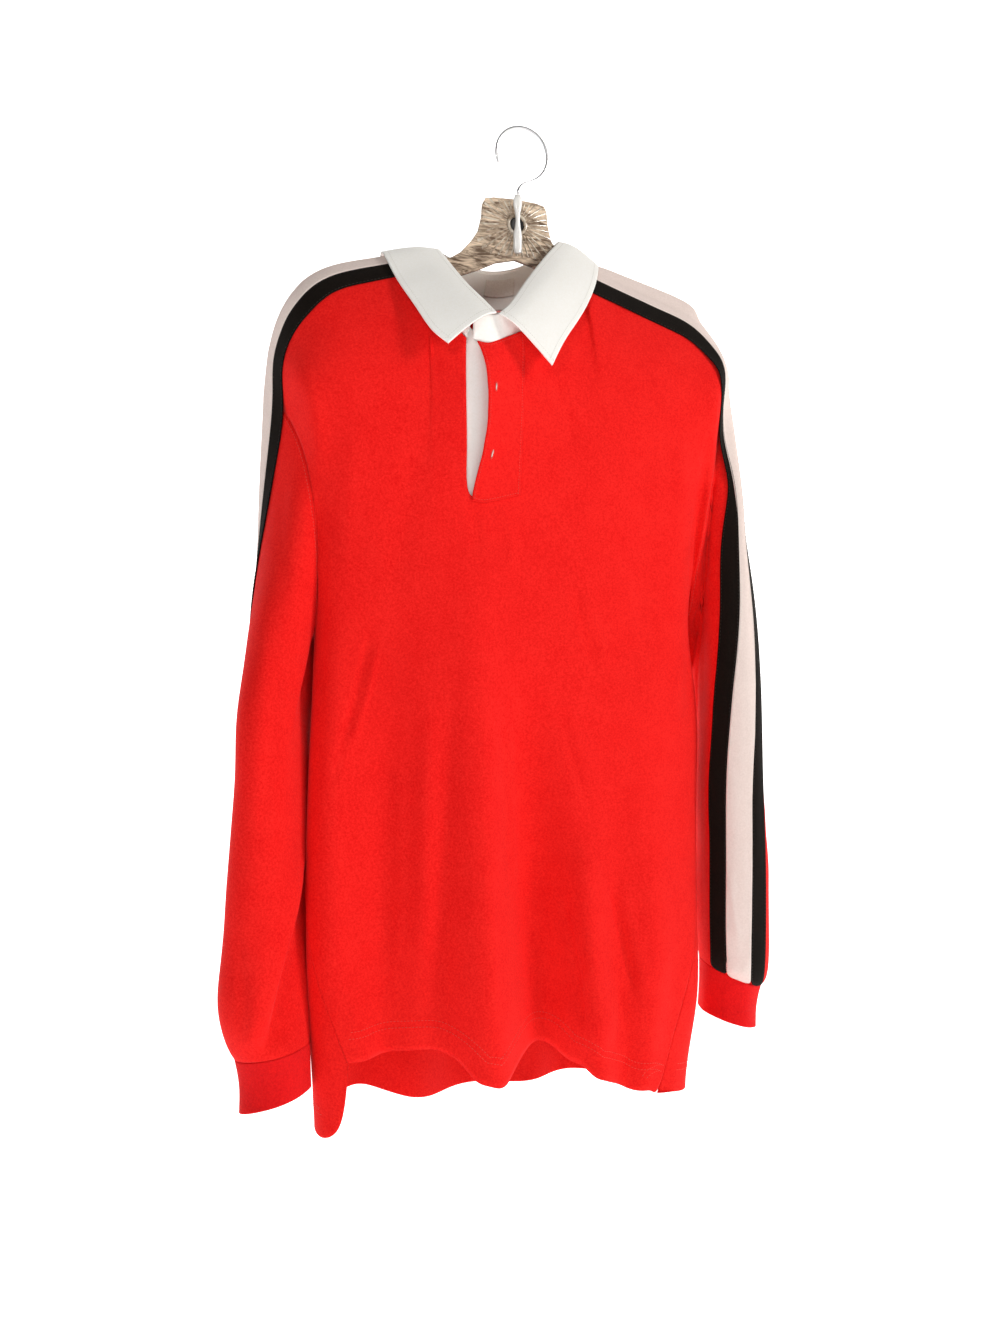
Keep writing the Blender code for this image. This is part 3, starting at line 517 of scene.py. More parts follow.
def knit_group():
    """Stitches of a knit: a height for the bump, and a mask that mottles the colour."""
    group = bpy.data.node_groups.new("knit stitches", "ShaderNodeTree")
    face = group.interface
    face.new_socket("Cloth", in_out="INPUT", socket_type="NodeSocketVector")
    face.new_socket("Place", in_out="INPUT", socket_type="NodeSocketVector")
    face.new_socket("Wale", in_out="INPUT", socket_type="NodeSocketFloat")
    face.new_socket("Course", in_out="INPUT", socket_type="NodeSocketFloat")
    face.new_socket("Height", in_out="OUTPUT", socket_type="NodeSocketFloat")
    face.new_socket("Mottle", in_out="OUTPUT", socket_type="NodeSocketFloat")
    come, go = group.nodes.new("NodeGroupInput"), group.nodes.new("NodeGroupOutput")
    split = node(group, "SeparateXYZ")
    link(group, come.outputs["Cloth"], split.inputs["Vector"])

    def maths(operation, a, b=None, value=None):
        made = node(group, "Math", operation=operation)
        link(group, a, made.inputs[0])
        if b is not None:
            link(group, b, made.inputs[1])
        elif value is not None:
            made.inputs[1].default_value = value
        return made.outputs[0]

    across = maths("DIVIDE", split.outputs["X"], come.outputs["Wale"])
    down = maths("DIVIDE", split.outputs["Y"], come.outputs["Course"])
    leg = maths("PINGPONG", across, value=0.5)
    slanted = maths("ADD", down, maths("MULTIPLY", leg, value=1.2))
    loops = maths("SINE", maths("MULTIPLY", slanted, value=2 * math.pi))
    ribs = maths("SINE", maths("MULTIPLY", leg, value=2 * math.pi))
    fuzz = node(group, "TexNoise", Scale=1500.0, Detail=3.0, Roughness=0.65)
    link(group, come.outputs["Place"], fuzz.inputs["Vector"])
    yarn = maths("ADD", maths("MULTIPLY", loops, value=0.32), maths("MULTIPLY", ribs, value=0.5))
    height = maths("ADD", yarn, maths("MULTIPLY", fuzz.outputs["Fac"], value=0.9))
    link(group, height, go.inputs["Height"])
    speckle = node(group, "TexNoise", Scale=520.0, Detail=4.0, Roughness=0.8)
    broad = node(group, "TexNoise", Scale=38.0, Detail=3.0, Roughness=0.6)
    for one in (speckle, broad):
        link(group, come.outputs["Place"], one.inputs["Vector"])
    mottle = maths(
        "ADD",
        maths("MULTIPLY", speckle.outputs["Fac"], value=0.86),
        maths("MULTIPLY", broad.outputs["Fac"], value=0.14),
    )
    link(group, mottle, go.inputs["Mottle"])
    return group


stitches = knit_group()


def knit(name, dark, light, wale, course, depth, sheen=0.03, roughness=0.9):
    """A knitted or woven cotton: mottled between two tones, with its stitches as bump."""
    made, tree, shader = new_material(
        name, light, roughness, Sheen_Weight=sheen, Sheen_Roughness=0.4, Specular_IOR_Level=0.12
    )
    place = node(tree, "TexCoord")
    cloth = node(tree, "UVMap", uv_map="weave")
    face = tree.nodes.new("ShaderNodeGroup")
    face.node_tree = stitches
    face.inputs["Wale"].default_value = wale * MM
    face.inputs["Course"].default_value = course * MM
    link(tree, cloth.outputs["UV"], face.inputs["Cloth"])
    link(tree, place.outputs["Object"], face.inputs["Place"])
    two_tones(tree, shader, face.outputs["Mottle"], dark, light, 0.36, 0.62)
    bumpy(tree, shader, face.outputs["Height"], 0.55, depth)
    return made


red_knit = knit("red_knit", (0.76, 0.002, 0.003), RED, WALE, COURSE, 0.25)

# Folds of the front as they are seen from the front, finer than its main forms: height in
# millimetres, widths to the left and right, then the line from top to bottom
FRONT_FOLDS = (
    (6.6, 46, 34, (468, 520), (468, 650), (470, 800), (472, 950), (478, 1090)),
    (-5.6, 24, 48, (366, 560), (364, 700), (362, 850), (356, 1060)),
    (-5.6, 30, 34, (528, 640), (534, 760), (544, 880), (560, 1000), (566, 1066)),
    (5.6, 10, 30, (580, 820), (588, 900), (596, 980), (606, 1080)),
    (-3.2, 8, 5, (560, 880), (574, 960), (586, 1040)),
    (3.0, 14, 14, (336, 620), (332, 800), (340, 1020)),
    (-1.4, 12, 10, (450, 660), (446, 850), (448, 1040)),
    (2.0, 9, 9, (430, 690), (425, 800), (420, 980)),
    (1.9, 8, 8, (398, 720), (400, 850), (396, 1000)),
    (-1.7, 4, 6, (372, 620), (358, 690), (342, 745)),
    (1.6, 5, 4, (380, 640), (366, 700), (350, 760)),
    (-1.4, 4, 5, (356, 700), (344, 740), (334, 790)),
    (1.6, 5, 5, (508, 700), (512, 800), (516, 900)),
    (-1.5, 5, 6, (494, 860), (498, 950), (500, 1040)),
    (-1.7, 4, 4, (570, 590), (584, 630), (598, 672)),
    (1.6, 5, 5, (580, 588), (596, 630), (610, 668)),
    (-2.8, 4, 5, (606, 880), (620, 936), (636, 1000)),
    (2.8, 6, 7, (616, 870), (632, 930), (648, 1004)),
    (-1.6, 5, 5, (560, 700), (574, 760), (596, 830)),
    (2.2, 26, 18, (652, 620), (658, 800), (664, 1010)),
    (-4.2, 9, 7, (706, 452), (700, 540), (694, 640), (690, 760)),
    (2.0, 9, 7, (684, 430), (682, 520), (676, 620)),
    (-1.6, 14, 12, (640, 420), (646, 560), (650, 660)),
    (-1.6, 14, 12, (420, 430), (404, 520), (396, 600)),
    (1.4, 14, 12, (356, 420), (348, 500), (344, 600)),
    (-2.0, 8, 7, (316, 470), (318, 600), (322, 760)),
    (-1.8, 6, 6, (556, 372), (562, 400), (580, 450)),
    (-1.4, 6, 7, (462, 486), (474, 520), (478, 560)),
    (1.2, 5, 6, (498, 492), (510, 530), (512, 580)),
)
# the hem where it hangs lower or higher than its even line: across, reach, how far down
HEM_DROPS = ((474, 14, 13), (512, 10, 3), (583, 12, -7), (610, 14, -8))
# Folds of the back, in millimetres across and down, the same way
BACK_FOLDS = (
    (2.0, 9, 12, (-176, -480), (-160, -620), (-150, -760)),
    (-2.0, 12, 9, (-150, -380), (-132, -520), (-120, -660)),
    (2.2, 10, 14, (-96, -520), (-84, -700), (-70, -880)),
    (-1.8, 12, 10, (-40, -420), (-32, -600), (-20, -800)),
    (2.2, 8, 12, (12, -600), (20, -760), (36, -920)),
    (-1.8, 11, 9, (60, -400), (74, -560), (84, -720)),
    (2.0, 9, 12, (110, -520), (124, -700), (134, -860)),
    (-2.0, 8, 10, (152, -380), (156, -500), (160, -640)),
    (1.8, 10, 8, (-200, -290), (-176, -340), (-150, -400)),
    (1.6, 8, 10, (170, -260), (140, -310), (110, -380)),
    (-1.4, 9, 9, (-70, -226), (-10, -238), (46, -228)),
)
# Folds of the sleeves: those seen from the front, then those of the side away from it,
# by the angle in degrees and the height in millimetres
SLEEVE_FOLDS = {
    "left": (
        (6.5, 20, 6, (304, 840), (292, 905), (270, 990), (251, 1066)),
        (-7.5, 6, 14, (312, 850), (302, 920), (284, 1000), (266, 1066)),
        (-1.6, 7, 7, (284, 470), (280, 540), (286, 600)),
        (1.4, 9, 8, (268, 560), (262, 680), (252, 800)),
        (-1.5, 8, 8, (284, 640), (272, 760), (258, 860)),
        (-1.2, 6, 6, (238, 930), (244, 1000), (242, 1046)),
        (1.2, 6, 6, (256, 980), (254, 1020), (250, 1050)),
    ),
    "right": (
        (-1.8, 6, 6, (712, 430), (708, 520), (706, 600)),
        (1.5, 6, 6, (716, 640), (712, 760), (708, 860)),
        (-1.5, 6, 6, (742, 620), (738, 700), (742, 800)),
        (1.2, 6, 6, (752, 700), (756, 800), (754, 880)),
        (-1.8, 6, 6, (716, 900), (730, 940), (742, 968)),
        (-1.5, 5, 5, (738, 880), (744, 920), (752, 960)),
        (1.4, 6, 6, (728, 860), (734, 910), (740, 956)),
    ),
}
HIDDEN_FOLDS = {
    "left": (
        (-1.8, 9, 8, (100, -400), (118, -480), (140, -560)),
        (1.6, 9, 9, (60, -520), (84, -620), (110, -700)),
        (-1.8, 8, 8, (120, -700), (140, -780), (160, -850)),
        (1.6, 8, 8, (20, -600), (30, -700), (40, -820)),
    ),
    "right": (
        (1.6, 8, 9, (40, -420), (60, -520), (80, -600)),
        (-1.7, 9, 8, (100, -560), (120, -660), (140, -740)),
        (1.8, 7, 8, (60, -720), (80, -780), (100, -836)),
        (-1.5, 8, 8, (150, -420), (160, -520), (170, -600)),
    ),
}
SOFT = 1.1  # millimetres that the knit wanders between its folds


def wander(points, size, seed):
    """A slow, even unevenness of the cloth, from a few crossing waves."""
    x, y, z = (points / size).T
    return (
        np.sin(1.3 * x + 0.7 * z + seed) * np.cos(0.9 * z - 1.1 * y + 2 * seed)
        + 0.6 * np.sin(2.3 * x - 1.1 * z + 3 * seed)
        + 0.4 * np.cos(3.1 * z + 1.7 * y - seed)
    ) / 2


def facing(points, normals):
    """1 on cloth that looks to the front of the picture, and 0 on what looks away."""
    towards = np.array(EYE) - points
    towards /= np.linalg.norm(towards, axis=1)[:, None]
    share = np.clip(((towards * normals).sum(axis=1) + 0.1) / 0.35, 0, 1)
    return share * share * (3 - 2 * share)


def swell(z, middle, half):
    """A smooth rise and fall about this height, 1 at its middle."""
    return 0.5 + 0.5 * np.cos(math.pi * np.clip((z - middle) / half, -1, 1))


KNIT_WALL, FINENESS = 1.6, 3  # thickness of the solid's wall, and levels of subdivision
HEM_FROM, HEM_REACH = -0.84, 0.07
# where the body's sides fill out towards the sleeves: side, by how much, height, reach
# and, in steps of this many metres across, from where
SIDE_STEP = 0.03
SIDES_OUT = ((1, 3.5, -0.845, 0.10, 4.6), (-1, 3.0, -0.74, 0.36, 5.4))
for word, seed in (("front", 1.0), ("back", 2.2)):
    mesh = refined(outer_wall(word, KNIT_WALL), FINENESS)
    points, normals = points_of(mesh), normals_of(mesh)
    if word == "front":
        push = folded(seen(points), FRONT_FOLDS) * edge_fade(mesh, 0.016)
    else:
        push = folded(points[:, ::2] / MM, BACK_FOLDS) * edge_fade(mesh, 0.045)
    push += wander(points, 0.05, seed) * SOFT * MM * edge_fade(mesh, 0.045)
    points = points + normals * push[:, None]
    if word == "front":
        at = seen(points)
        low = np.clip((HEM_FROM - points[:, 2]) / HEM_REACH, 0, 1) ** 2
        for across, reach, down in HEM_DROPS:
            points[:, 2] -= down * MM * low * np.exp(-(((at[:, 0] - across) / reach) ** 2))
    for side, amount, height, reach, start in SIDES_OUT:
        outer = np.clip(side * points[:, 0] / SIDE_STEP - start, 0, 1)
        points[:, 0] += side * amount * MM * swell(points[:, 2], height, reach) * outer
    set_points(mesh, points)
    box_uv(mesh)
    body = cloth_piece("shirt_" + word, mesh, red_knit, KNIT_THICK, word, slot="red_knit")

# where a sleeve's inner side fills out towards the body: by how much, height, reach
SLEEVE_IN = {
    "left": ((15.0, -0.515, 0.10), (4.0, -0.68, 0.15), (5.0, -0.835, 0.055)),
    "right": ((-7.0, -0.53, 0.07), (-4.0, -0.77, 0.08)),
}
SLEEVE_ROUND = 0.25
for word, seed in (("left", 3.1), ("right", 4.3)):
    mesh = refined(outer_wall("sleeve_" + word, KNIT_WALL), FINENESS)
    points, normals = points_of(mesh), normals_of(mesh)
    levels = np.round(points[:, 2] / LEVEL)
    heights = np.unique(levels)
    middles = np.array([points[levels == one].mean(axis=0) for one in heights])
    middle = [np.interp(points[:, 2], middles[:, 2], middles[:, k]) for k in (0, 1)]
    angle = np.degrees(np.arctan2(points[:, 1] - middle[1], points[:, 0] - middle[0]))
    push = folded(seen(points), SLEEVE_FOLDS[word]) * facing(points, normals)
    push += folded(np.stack([angle, points[:, 2] / MM], -1), HIDDEN_FOLDS[word])
    push += wander(points, 0.045, seed) * SOFT * 0.8 * MM
    points = points + normals * (push * edge_fade(mesh, 0.02))[:, None]
    for amount, height, reach in SLEEVE_IN[word]:
        inner = np.clip(normals[:, 0] * np.sign(amount) * 2, 0, 1)
        inner = inner * np.clip(points[:, 1] / SIDE_STEP + 0.3, 0, 1)
        points[:, 0] += amount * MM * swell(points[:, 2], height, reach) * inner
    set_points(mesh, points)
    wrapped_uv(mesh, SLEEVE_ROUND)
    sleeve = cloth_piece(
        "shirt_sleeve_" + word, mesh, red_knit, KNIT_THICK, "sleeve_" + word, slot="red_knit"
    )

# Cuffs: bands of red one-by-one rib knit, each a ring folded double at its lower edge and
# sewn to the gathered end of its sleeve.
RIB_PITCH, RIB_DEPTH, CUFF_WALL, CUFF_THICK, CUFF_ROUND = 2.6, 0.6, 2.2, 2.0, 0.21
red_rib = knit("red_rib", (0.70, 0.003, 0.006), (0.86, 0.010, 0.010), RIB_PITCH, 1.0, RIB_DEPTH)
for word in ("left", "right"):
    mesh = refined(outer_wall("cuff_" + word, CUFF_WALL), 4)
    spread(mesh, 0.2)
    wrapped_uv(mesh, CUFF_ROUND)
    cuff = cloth_piece(
        "shirt_cuff_" + word, mesh, red_rib, CUFF_THICK, "cuff_" + word, slot="red_rib"
    )

# Tapes: woven strips laid along each shoulder and sleeve, the white one over the seam
# with a black one on either side, stitched down along both edges.
# the white tape's colour is white tinted pink, the pink a painted reflection of the red knit
# round it
WHITE_TAPE, BLACK_TAPE = (0.84, 0.71, 0.66), (0.010, 0.006, 0.004)
TAPE_PROUD, TAPE_THICK, TAPE_WALL, TAPE_SPREAD = 0.9, 0.7, 1.0, 0.25
# how far the tapes lie to the front of the shoulder line, as height and distance
TAPE_FORWARD = {
    "left": ((-420, 0), (-260, 3), (-130, 4)),
    "right": ((-560, 0), (-470, 5), (-400, 9), (-320, 15), (-250, 20), (-190, 19), (-130, 12)),
}
white_tape = knit("white_tape", (0.76, 0.63, 0.58), WHITE_TAPE, 0.7, 0.9, 0.14)
black_tape = knit("black_tape", (0.004, 0.003, 0.002), BLACK_TAPE, 0.7, 0.9, 0.14, sheen=0.0)


def surface_of(*names):
    """A searchable copy of these pieces' outer sides."""
    points, faces = [], []
    for name in names:
        mesh = bpy.data.objects[name].data
        first = len(points)
        points += [v.co.copy() for v in mesh.vertices]
        faces += [[first + k for k in f.vertices] for f in mesh.polygons]
    return BVHTree.FromPolygons(points, faces)


SLIDES, SMOOTHINGS = 8, 12
CLOTH_NEAR, SAME_SIDE = 0.02, 0.3  # how far off the cloth may be, and how it has to face


def laid_on(mesh, surface, proud, forward):
    """Slides the mesh to the front along the cloth that it lies on, by this much at each
    height, then evens it out and lifts it to just above the cloth."""
    points, ways = points_of(mesh), normals_of(mesh)
    bm = bmesh.new()
    bm.from_mesh(mesh)
    # a point on the border follows its neighbours along the border only
    ends = np.array([
        (v.index, e.other_vert(v).index)
        for v in bm.verts for e in v.link_edges if e.is_boundary or not v.is_boundary
    ])
    bm.free()
    count = np.bincount(ends[:, 0], minlength=len(points))[:, None]
    amount = np.interp(points[:, 2] / MM, *zip(*forward)) * MM / SLIDES

    def settled():
        for k, p in enumerate(points):
            found, normal, _, _ = surface.find_nearest(Vector(p), CLOTH_NEAR)
            if found is None or normal.dot(Vector(ways[k])) < SAME_SIDE:
                continue
            ways[k] = normal
            if (Vector(p) - found).dot(normal) < proud * MM:
                points[k] = found + normal * (proud * MM)

    for _ in range(SLIDES):
        front = np.tile((0.0, -1.0, 0.0), (len(points), 1))
        front -= (front * ways).sum(axis=1)[:, None] * ways
        front /= np.maximum(np.linalg.norm(front, axis=1), 0.3)[:, None]
        points += front * amount[:, None]
        settled()
    settled()
    for _ in range(SMOOTHINGS):
        beside = np.zeros_like(points)
        np.add.at(beside, ends[:, 0], points[ends[:, 1]])
        points += 0.5 * (beside / count - points)
    settled()
    set_points(mesh, points)


red_cloth = surface_of("shirt_front", "shirt_back", "shirt_sleeve_left", "shirt_sleeve_right")
for word in ("left", "right"):
    for stem, made, slot, width in (
        ("tape_white_", white_tape, "white_tape", 0.025),
        ("tape_black_front_", black_tape, "black_tape", 0.0195),
        ("tape_black_back_", black_tape, "black_tape", 0.0195),
    ):
        mesh = refined(outer_wall(stem + word, TAPE_WALL), FINENESS)
        laid_on(mesh, red_cloth, TAPE_PROUD, TAPE_FORWARD[word])
        spread(mesh, TAPE_SPREAD)
        box_uv(mesh)
        tape = cloth_piece("shirt_" + stem + word, mesh, made, TAPE_THICK, stem + word, slot=slot)

# Placket: a white button strip under the opening and a red buttonhole strip over it,
# bowed open where it hangs unfastened, with two buttons behind two worked buttonholes.
STRIP_UP, STRIP_BACK, STRIP_FROM = 15.0, 1.5, -0.248
white_knit = knit("white_knit", (0.93, 0.91, 0.86), (0.97, 0.96, 0.93), 0.8, 0.8, 0.12)
for name, source, made, wall, thick, slot, flat in (
    ("placket_strip", "placket_over", red_knit, KNIT_WALL, 1.4, "red_knit", (0.040, 0.165)),
    ("placket_underlap", "placket_under", white_knit, 1.2, 1.1, "white_knit", (0.042, 0.165)),
):
    mesh = refined(outer_wall(source, wall), FINENESS)
    points = points_of(mesh)
    if source == "placket_under":  # its top runs up behind the end of the collar's stand
        points[:, 2] += STRIP_UP * MM * np.clip((points[:, 2] - STRIP_FROM) / 0.016, 0, 1)
        points[:, 1] += STRIP_BACK * MM * np.clip((points[:, 2] - STRIP_FROM) / 0.030, 0, 1)
        set_points(mesh, points)
    else:
        spread(mesh, 0.45)
    box_uv(mesh)
    strip = cloth_piece(name, mesh, made, thick, source, slot=slot)

button_plastic, tree, shader = new_material(
    "button_white", (0.82, 0.80, 0.75), 0.28, Coat_Weight=0.5, Coat_Roughness=0.15
)
place = node(tree, "TexCoord")
cloudy = node(tree, "TexNoise", Scale=300.0, Detail=4.0)
link(tree, place.outputs["Object"], cloudy.inputs["Vector"])
two_tones(tree, shader, cloudy.outputs["Fac"], (0.74, 0.71, 0.66), (0.88, 0.86, 0.82))
BUTTON = (
    (0.0, 0.5), (3.2, 0.5), (3.9, 0.9), (4.9, 1.0),
    (5.5, 0.3), (5.3, -0.7), (4.6, -1.0), (0.0, -1.0),
)
HOLE_RADIUS, HOLE_OFF = 0.7, 1.3
for word in ("upper", "lower"):
    low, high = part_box("button_" + word)
    middle = (low + high) / 2
    bm = turned_shape(BUTTON, 32)
    for across, up in ((-1, -1), (1, -1), (1, 1), (-1, 1)):
        dot = bmesh.ops.create_cone(
            bm, cap_ends=True, segments=12,
            radius1=HOLE_RADIUS * MM, radius2=HOLE_RADIUS * MM, depth=0.3 * MM,
        )["verts"]
        quarter = Matrix.Rotation(math.pi / 2, 3, "X")
        bmesh.ops.rotate(bm, verts=dot, cent=(0, 0, 0), matrix=quarter)
        off = Vector((across * HOLE_OFF, -0.6, up * HOLE_OFF)) * MM
        bmesh.ops.translate(bm, verts=dot, vec=off)
    bmesh.ops.translate(bm, verts=bm.verts, vec=middle)
    button = shown("button_" + word + "_sewn", bm, button_plastic)
    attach(button, "root")
    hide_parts("button_" + word)

# Collar: white cotton, a stand sewn into the neckline and a leaf that turns down over
# it, with a blank grey label and a white tape over the seam inside the back of the neck.
for name, source, wall, thick, held, flat, area in (
    ("collar_stand_sewn", "collar_stand", 1.8, 1.6, "hung", (0.40, 0.048), 0.0155),
    ("collar_leaf_turned", "collar_leaf", 1.8, 1.6, "folded", (0.46, 0.088), 0.0350),
    ("neck_tape_sewn", "neck_tape", 1.0, 0.8, "hung", (0.0125, 0.145), None),
):
    mesh = refined(outer_wall(source, wall), FINENESS)
    box_uv(mesh)
    piece = cloth_piece(name, mesh, white_knit, thick, source, slot="white_knit")

LABEL_WALL, LABEL_THICK = 0.8, 0.6
# the label is coloured lighter than its own grey: painted light, standing in for the light that
# reaches it inside the neck
label_lightened = knit(
    "label_grey", (0.80, 0.74, 0.68), (0.92, 0.87, 0.81), 0.35, 0.35, 0.05, roughness=0.55
)
mesh = refined(outer_wall("neck_label", LABEL_WALL), FINENESS)
box_uv(mesh)
label = cloth_piece(
    "neck_label_blank", mesh, label_lightened, LABEL_THICK, "neck_label", slot="label_grey"
)

# Stitching: cotton thread, in twin rows round the hem and single rows by the armholes,
# round the placket, the collar, the label and every tape, with two buttonholes worked in
# the placket.
def borders(mesh, inset):
    """Each border of a sheet as a run of places this far inside it: the place, the way
    out of the cloth and the way in from the edge."""
    bm = bmesh.new()
    bm.from_mesh(mesh)
    bm.edges.ensure_lookup_table()
    surface = BVHTree.FromBMesh(bm)
    done, runs = set(), []
    for first in [e for e in bm.edges if e.is_boundary]:
        if first.index in done:
            continue
        done.add(first.index)
        run = [first.verts[0], first.verts[1]]
        while True:
            ahead = [e for e in run[-1].link_edges if e.is_boundary and e.index not in done]
            if not ahead:
                break
            done.add(ahead[0].index)
            run.append(ahead[0].other_vert(run[-1]))
        places = []
        for k, v in enumerate(run):
            along = (run[min(k + 1, len(run) - 1)].co - run[max(k - 1, 0)].co).normalized()
            inward = to_faces(v)
            inward -= inward.dot(v.normal) * v.normal + inward.dot(along) * along
            inward.normalize()
            found, normal, _, _ = surface.find_nearest(v.co + inward * inset * MM)
            places.append((found, normal, inward))
        runs.append(places)
    bm.free()
    return runs


def sew(bm, runs, pitch, length, width, keep=lambda place, inward: True):
    """Lays a row of small stitches along each run, where keep says so."""
    for run in runs:
        gone = 0.0
        for (a, up, inward), (b, _, _) in zip(run, run[1:]):
            step = (b - a).length
            if step == 0 or step > 0.02:
                continue
            while gone < step:
                place = a.lerp(b, gone / step)
                if keep(place, inward):
                    one_stitch(bm, place, (b - a) / step, up, length, width)
                gone += pitch * MM
            gone -= step


LIFT = 0.08  # how far a stitch's middle lies above the cloth


def one_stitch(bm, place, along, up, length, width):
    """A small oval of thread, lying on the cloth along its row."""
    across = up.cross(along).normalized()
    along = across.cross(up).normalized()
    axes = along * length / 2 * MM, across * width / 2 * MM, up * width * 0.4 * MM
    turn = Matrix(axes).transposed().to_4x4()
    turn.translation = place + up * LIFT * MM
    bmesh.ops.create_icosphere(bm, subdivisions=1, radius=1, matrix=turn)


def thread(name, colour):
    """Sewing thread: a fine twist, a little uneven in tone."""
    made, tree, shader = new_material(name, colour, 0.6, Specular_IOR_Level=0.3)
    place = node(tree, "TexCoord")
    twist = node(tree, "TexNoise", Scale=2200.0, Detail=2.0)
    link(tree, place.outputs["Object"], twist.inputs["Vector"])
    two_tones(tree, shader, twist.outputs["Fac"], [0.72 * c for c in colour], colour)
    bumpy(tree, shader, twist.outputs["Fac"], 0.4, 0.1)
    return made


red_thread = thread("red_thread", (0.90, 0.060, 0.045))
white_thread = thread("white_thread", (0.86, 0.83, 0.77))
black_thread = thread("black_thread", (0.030, 0.026, 0.024))
HEM_ROWS, ARMHOLE_ROW, HEM_TOP, ARMHOLE_LOW = (21.0, 27.0), 3.0, -0.80, -0.6
# the distance from one stitch to the next, and a stitch's length and width
WIDE_STITCH, TAPE_STITCH = (3.2, 2.5, 0.7), (3.6, 2.7, 0.5)
FINE_STITCH, STRIP_STITCH, LABEL_STITCH = (2.6, 2.0, 0.5), (2.6, 2.0, 0.55), (2.0, 1.5, 0.4)


def sheet_mesh(name):
    return bpy.data.objects[name].data


def is_hem(place, inward):
    return inward.z > 0.6 and place.z < HEM_TOP


def is_armhole(place, inward):
    return place.z > ARMHOLE_LOW


bm = bmesh.new()
for name in ("shirt_front", "shirt_back"):
    for inset in HEM_ROWS:
        sew(bm, borders(sheet_mesh(name), inset), *WIDE_STITCH, is_hem)
for word in ("left", "right"):
    runs = borders(sheet_mesh("shirt_sleeve_" + word), ARMHOLE_ROW)
    sew(bm, runs, *WIDE_STITCH, is_armhole)
sew(bm, borders(sheet_mesh("placket_strip"), 2.2), *STRIP_STITCH)
# each buttonhole's middle, its height and how far it leans
BUTTONHOLES = (((-52, -74, -275), 8.0, 0.05), ((-54, -72, -336), 10.0, 0.25))
BUTTONHOLE_HALF, BUTTONHOLE_STITCHES = 1.25, 30
strip = surface_of("placket_strip")
slits = bmesh.new()
for middle, tall, lean in BUTTONHOLES:
    middle, up, _, _ = strip.find_nearest(Vector(middle) * MM)
    along = Vector((lean, 0, 1)).normalized()
    across = along.cross(up).normalized()
    for k in range(BUTTONHOLE_STITCHES):
        turn = 2 * math.pi * k / BUTTONHOLE_STITCHES
        out = across * math.cos(turn) * BUTTONHOLE_HALF + along * math.sin(turn) * tall / 2
        outward = (across * math.cos(turn) + along * math.sin(turn) * 0.3).normalized()
        one_stitch(bm, middle + out * MM, outward, up, 1.5, 0.8)
    one_stitch(slits, middle + up * 0.1 * MM, along, up, tall * 0.86, 1.3)
red_rows = shown("red_stitching", bm, red_thread)
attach(red_rows, "root")
slit = shown("buttonhole_slits", slits, white_thread)
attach(slit, "root")

bm = bmesh.new()
for name, inset, stitch in (
    ("collar_leaf_turned", 5.0, FINE_STITCH),
    ("neck_tape_sewn", 1.4, FINE_STITCH),
    ("neck_label_blank", 1.3, LABEL_STITCH),
):
    sew(bm, borders(sheet_mesh(name), inset), *stitch)
white_rows = shown("white_stitching", bm, white_thread)
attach(white_rows, "root")

for stem, made, slot, tapes in (
    ("white", white_thread, "white_tape", ("white_",)),
    ("black", black_thread, "black_tape", ("black_front_", "black_back_")),
):
    bm = bmesh.new()
    for word in ("left", "right"):
        for tape in tapes:
            sew(bm, borders(sheet_mesh("shirt_tape_" + tape + word), 1.6), *TAPE_STITCH)
    rows = shown("tape_stitching_" + stem, bm, made)
    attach(rows, "root")

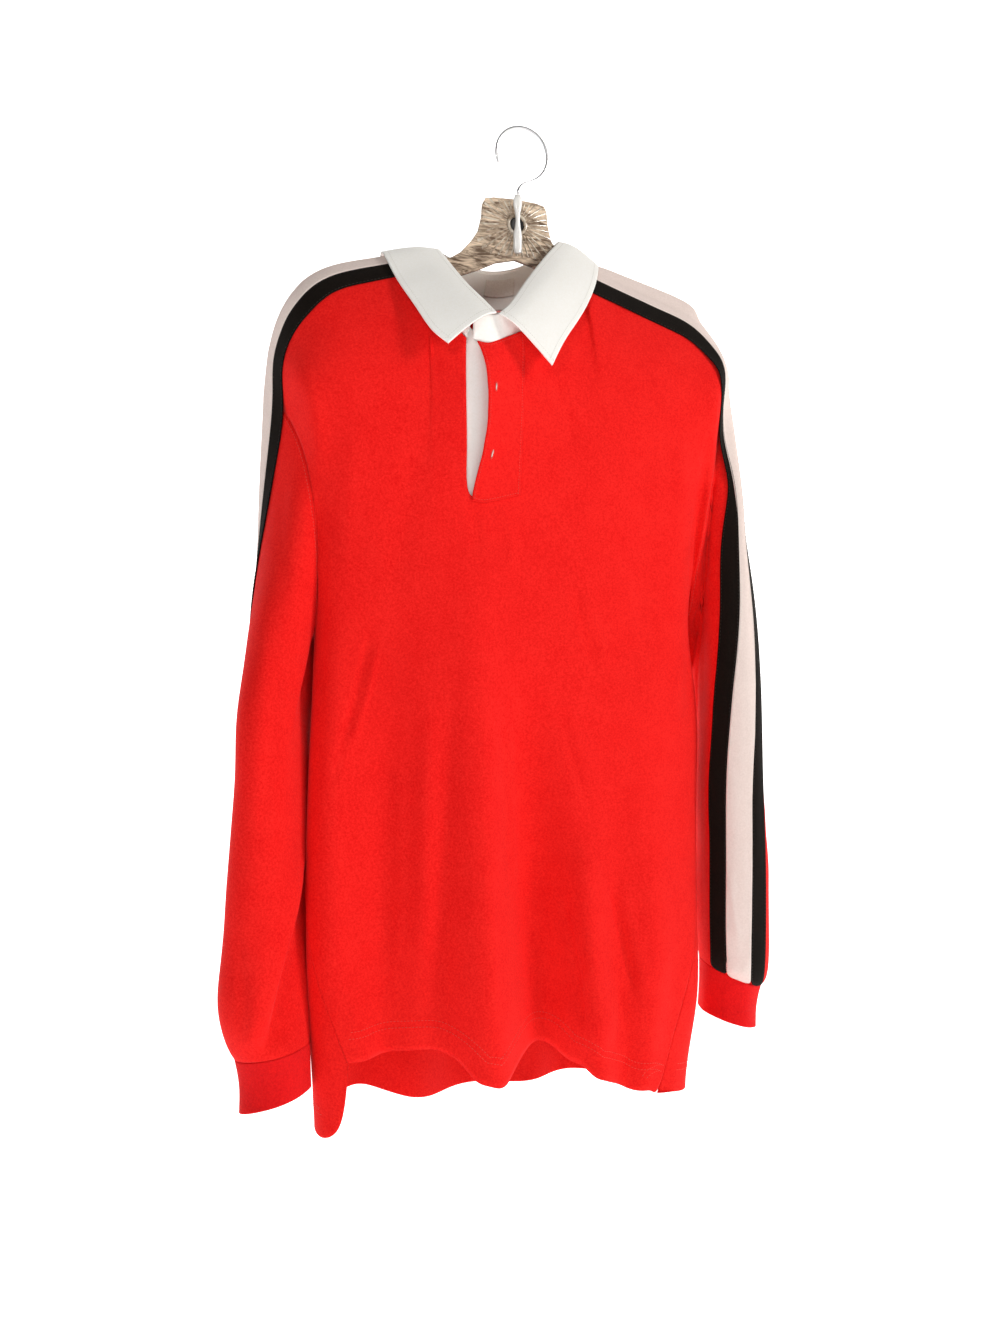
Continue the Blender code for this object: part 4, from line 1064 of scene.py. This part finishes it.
# Studio: a pale paper sweep hung behind and laid under the shirt, lit by two large soft
# lamps before it and one behind, and seen from where the picture was taken.
SWEEP_FRONT, SWEEP_BACK, SWEEP_TOP, SWEEP_CURVE = -4.0, 1.6, 4.0, 0.8
SWEEP_HALF, FLOOR_Z, CURVE_STEPS = 6, -1.55, 12
bm = bmesh.new()
profile = [(SWEEP_FRONT, FLOOR_Z)]
for k in range(CURVE_STEPS + 1):
    a = math.pi / 2 * k / CURVE_STEPS
    profile.append((
        SWEEP_BACK - SWEEP_CURVE + SWEEP_CURVE * math.sin(a),
        FLOOR_Z + SWEEP_CURVE - SWEEP_CURVE * math.cos(a),
    ))
profile.append((SWEEP_BACK, SWEEP_TOP))
line = [bm.verts.new((-SWEEP_HALF, y, z)) for y, z in profile]
edges = [bm.edges.new(pair) for pair in zip(line, line[1:])]
swept = bmesh.ops.extrude_edge_only(bm, edges=edges)["geom"]
swept = [v for v in swept if isinstance(v, bmesh.types.BMVert)]
bmesh.ops.translate(bm, vec=(2 * SWEEP_HALF, 0, 0), verts=swept)
bmesh.ops.recalc_face_normals(bm, faces=bm.faces)
bmesh.ops.rotate(bm, verts=bm.verts, matrix=Matrix.Rotation(-TURN, 3, "Z"))
paper = new_material(
    "backdrop_paper", (0.93, 0.93, 0.93), 0.9, Emission_Color=(1, 1, 1, 1), Emission_Strength=0.9
)[0]
sweep = shown("backdrop", bm, paper)


def soft_light(name, size, power, place, target, colour=(1, 1, 1)):
    data = bpy.data.lights.new(name, "AREA")
    data.shape, data.size, data.energy, data.color = "DISK", size, power, colour
    lamp = bpy.data.objects.new(name, data)
    lamp.location = place
    lamp.rotation_euler = (Vector(target) - Vector(place)).to_track_quat("-Z", "Y").to_euler()
    bpy.context.scene.collection.objects.link(lamp)


soft_light("key", 0.7, 32, (1.75, -1.6, 0.6), (0, 0, -0.5), (1.0, 0.97, 0.93))
soft_light("fill", 0.6, 11.5, (-1.2, -1.9, 0.45), (-0.1, 0, -0.5), (1.0, 0.98, 0.95))
soft_light("back", 1.2, 12, (0.6, 1.35, 0.9), (0, 0, -0.5))
world = bpy.data.worlds.new("studio")
world.use_nodes = True
sky = world.node_tree.nodes["Background"]
sky.inputs["Color"].default_value = (1, 1, 1, 1)
sky.inputs["Strength"].default_value = 0.17
bpy.context.scene.world = world
bpy.context.scene.view_settings.view_transform = "Standard"

camera = bpy.data.cameras.new("camera")
camera.lens, camera.sensor_width, camera.sensor_fit = 31.06, 36, "AUTO"
eye = bpy.data.objects.new("camera", camera)
eye.location = EYE
eye.rotation_euler = (math.radians(90), 0, -TURN)
bpy.context.scene.collection.objects.link(eye)
bpy.context.scene.camera = eye
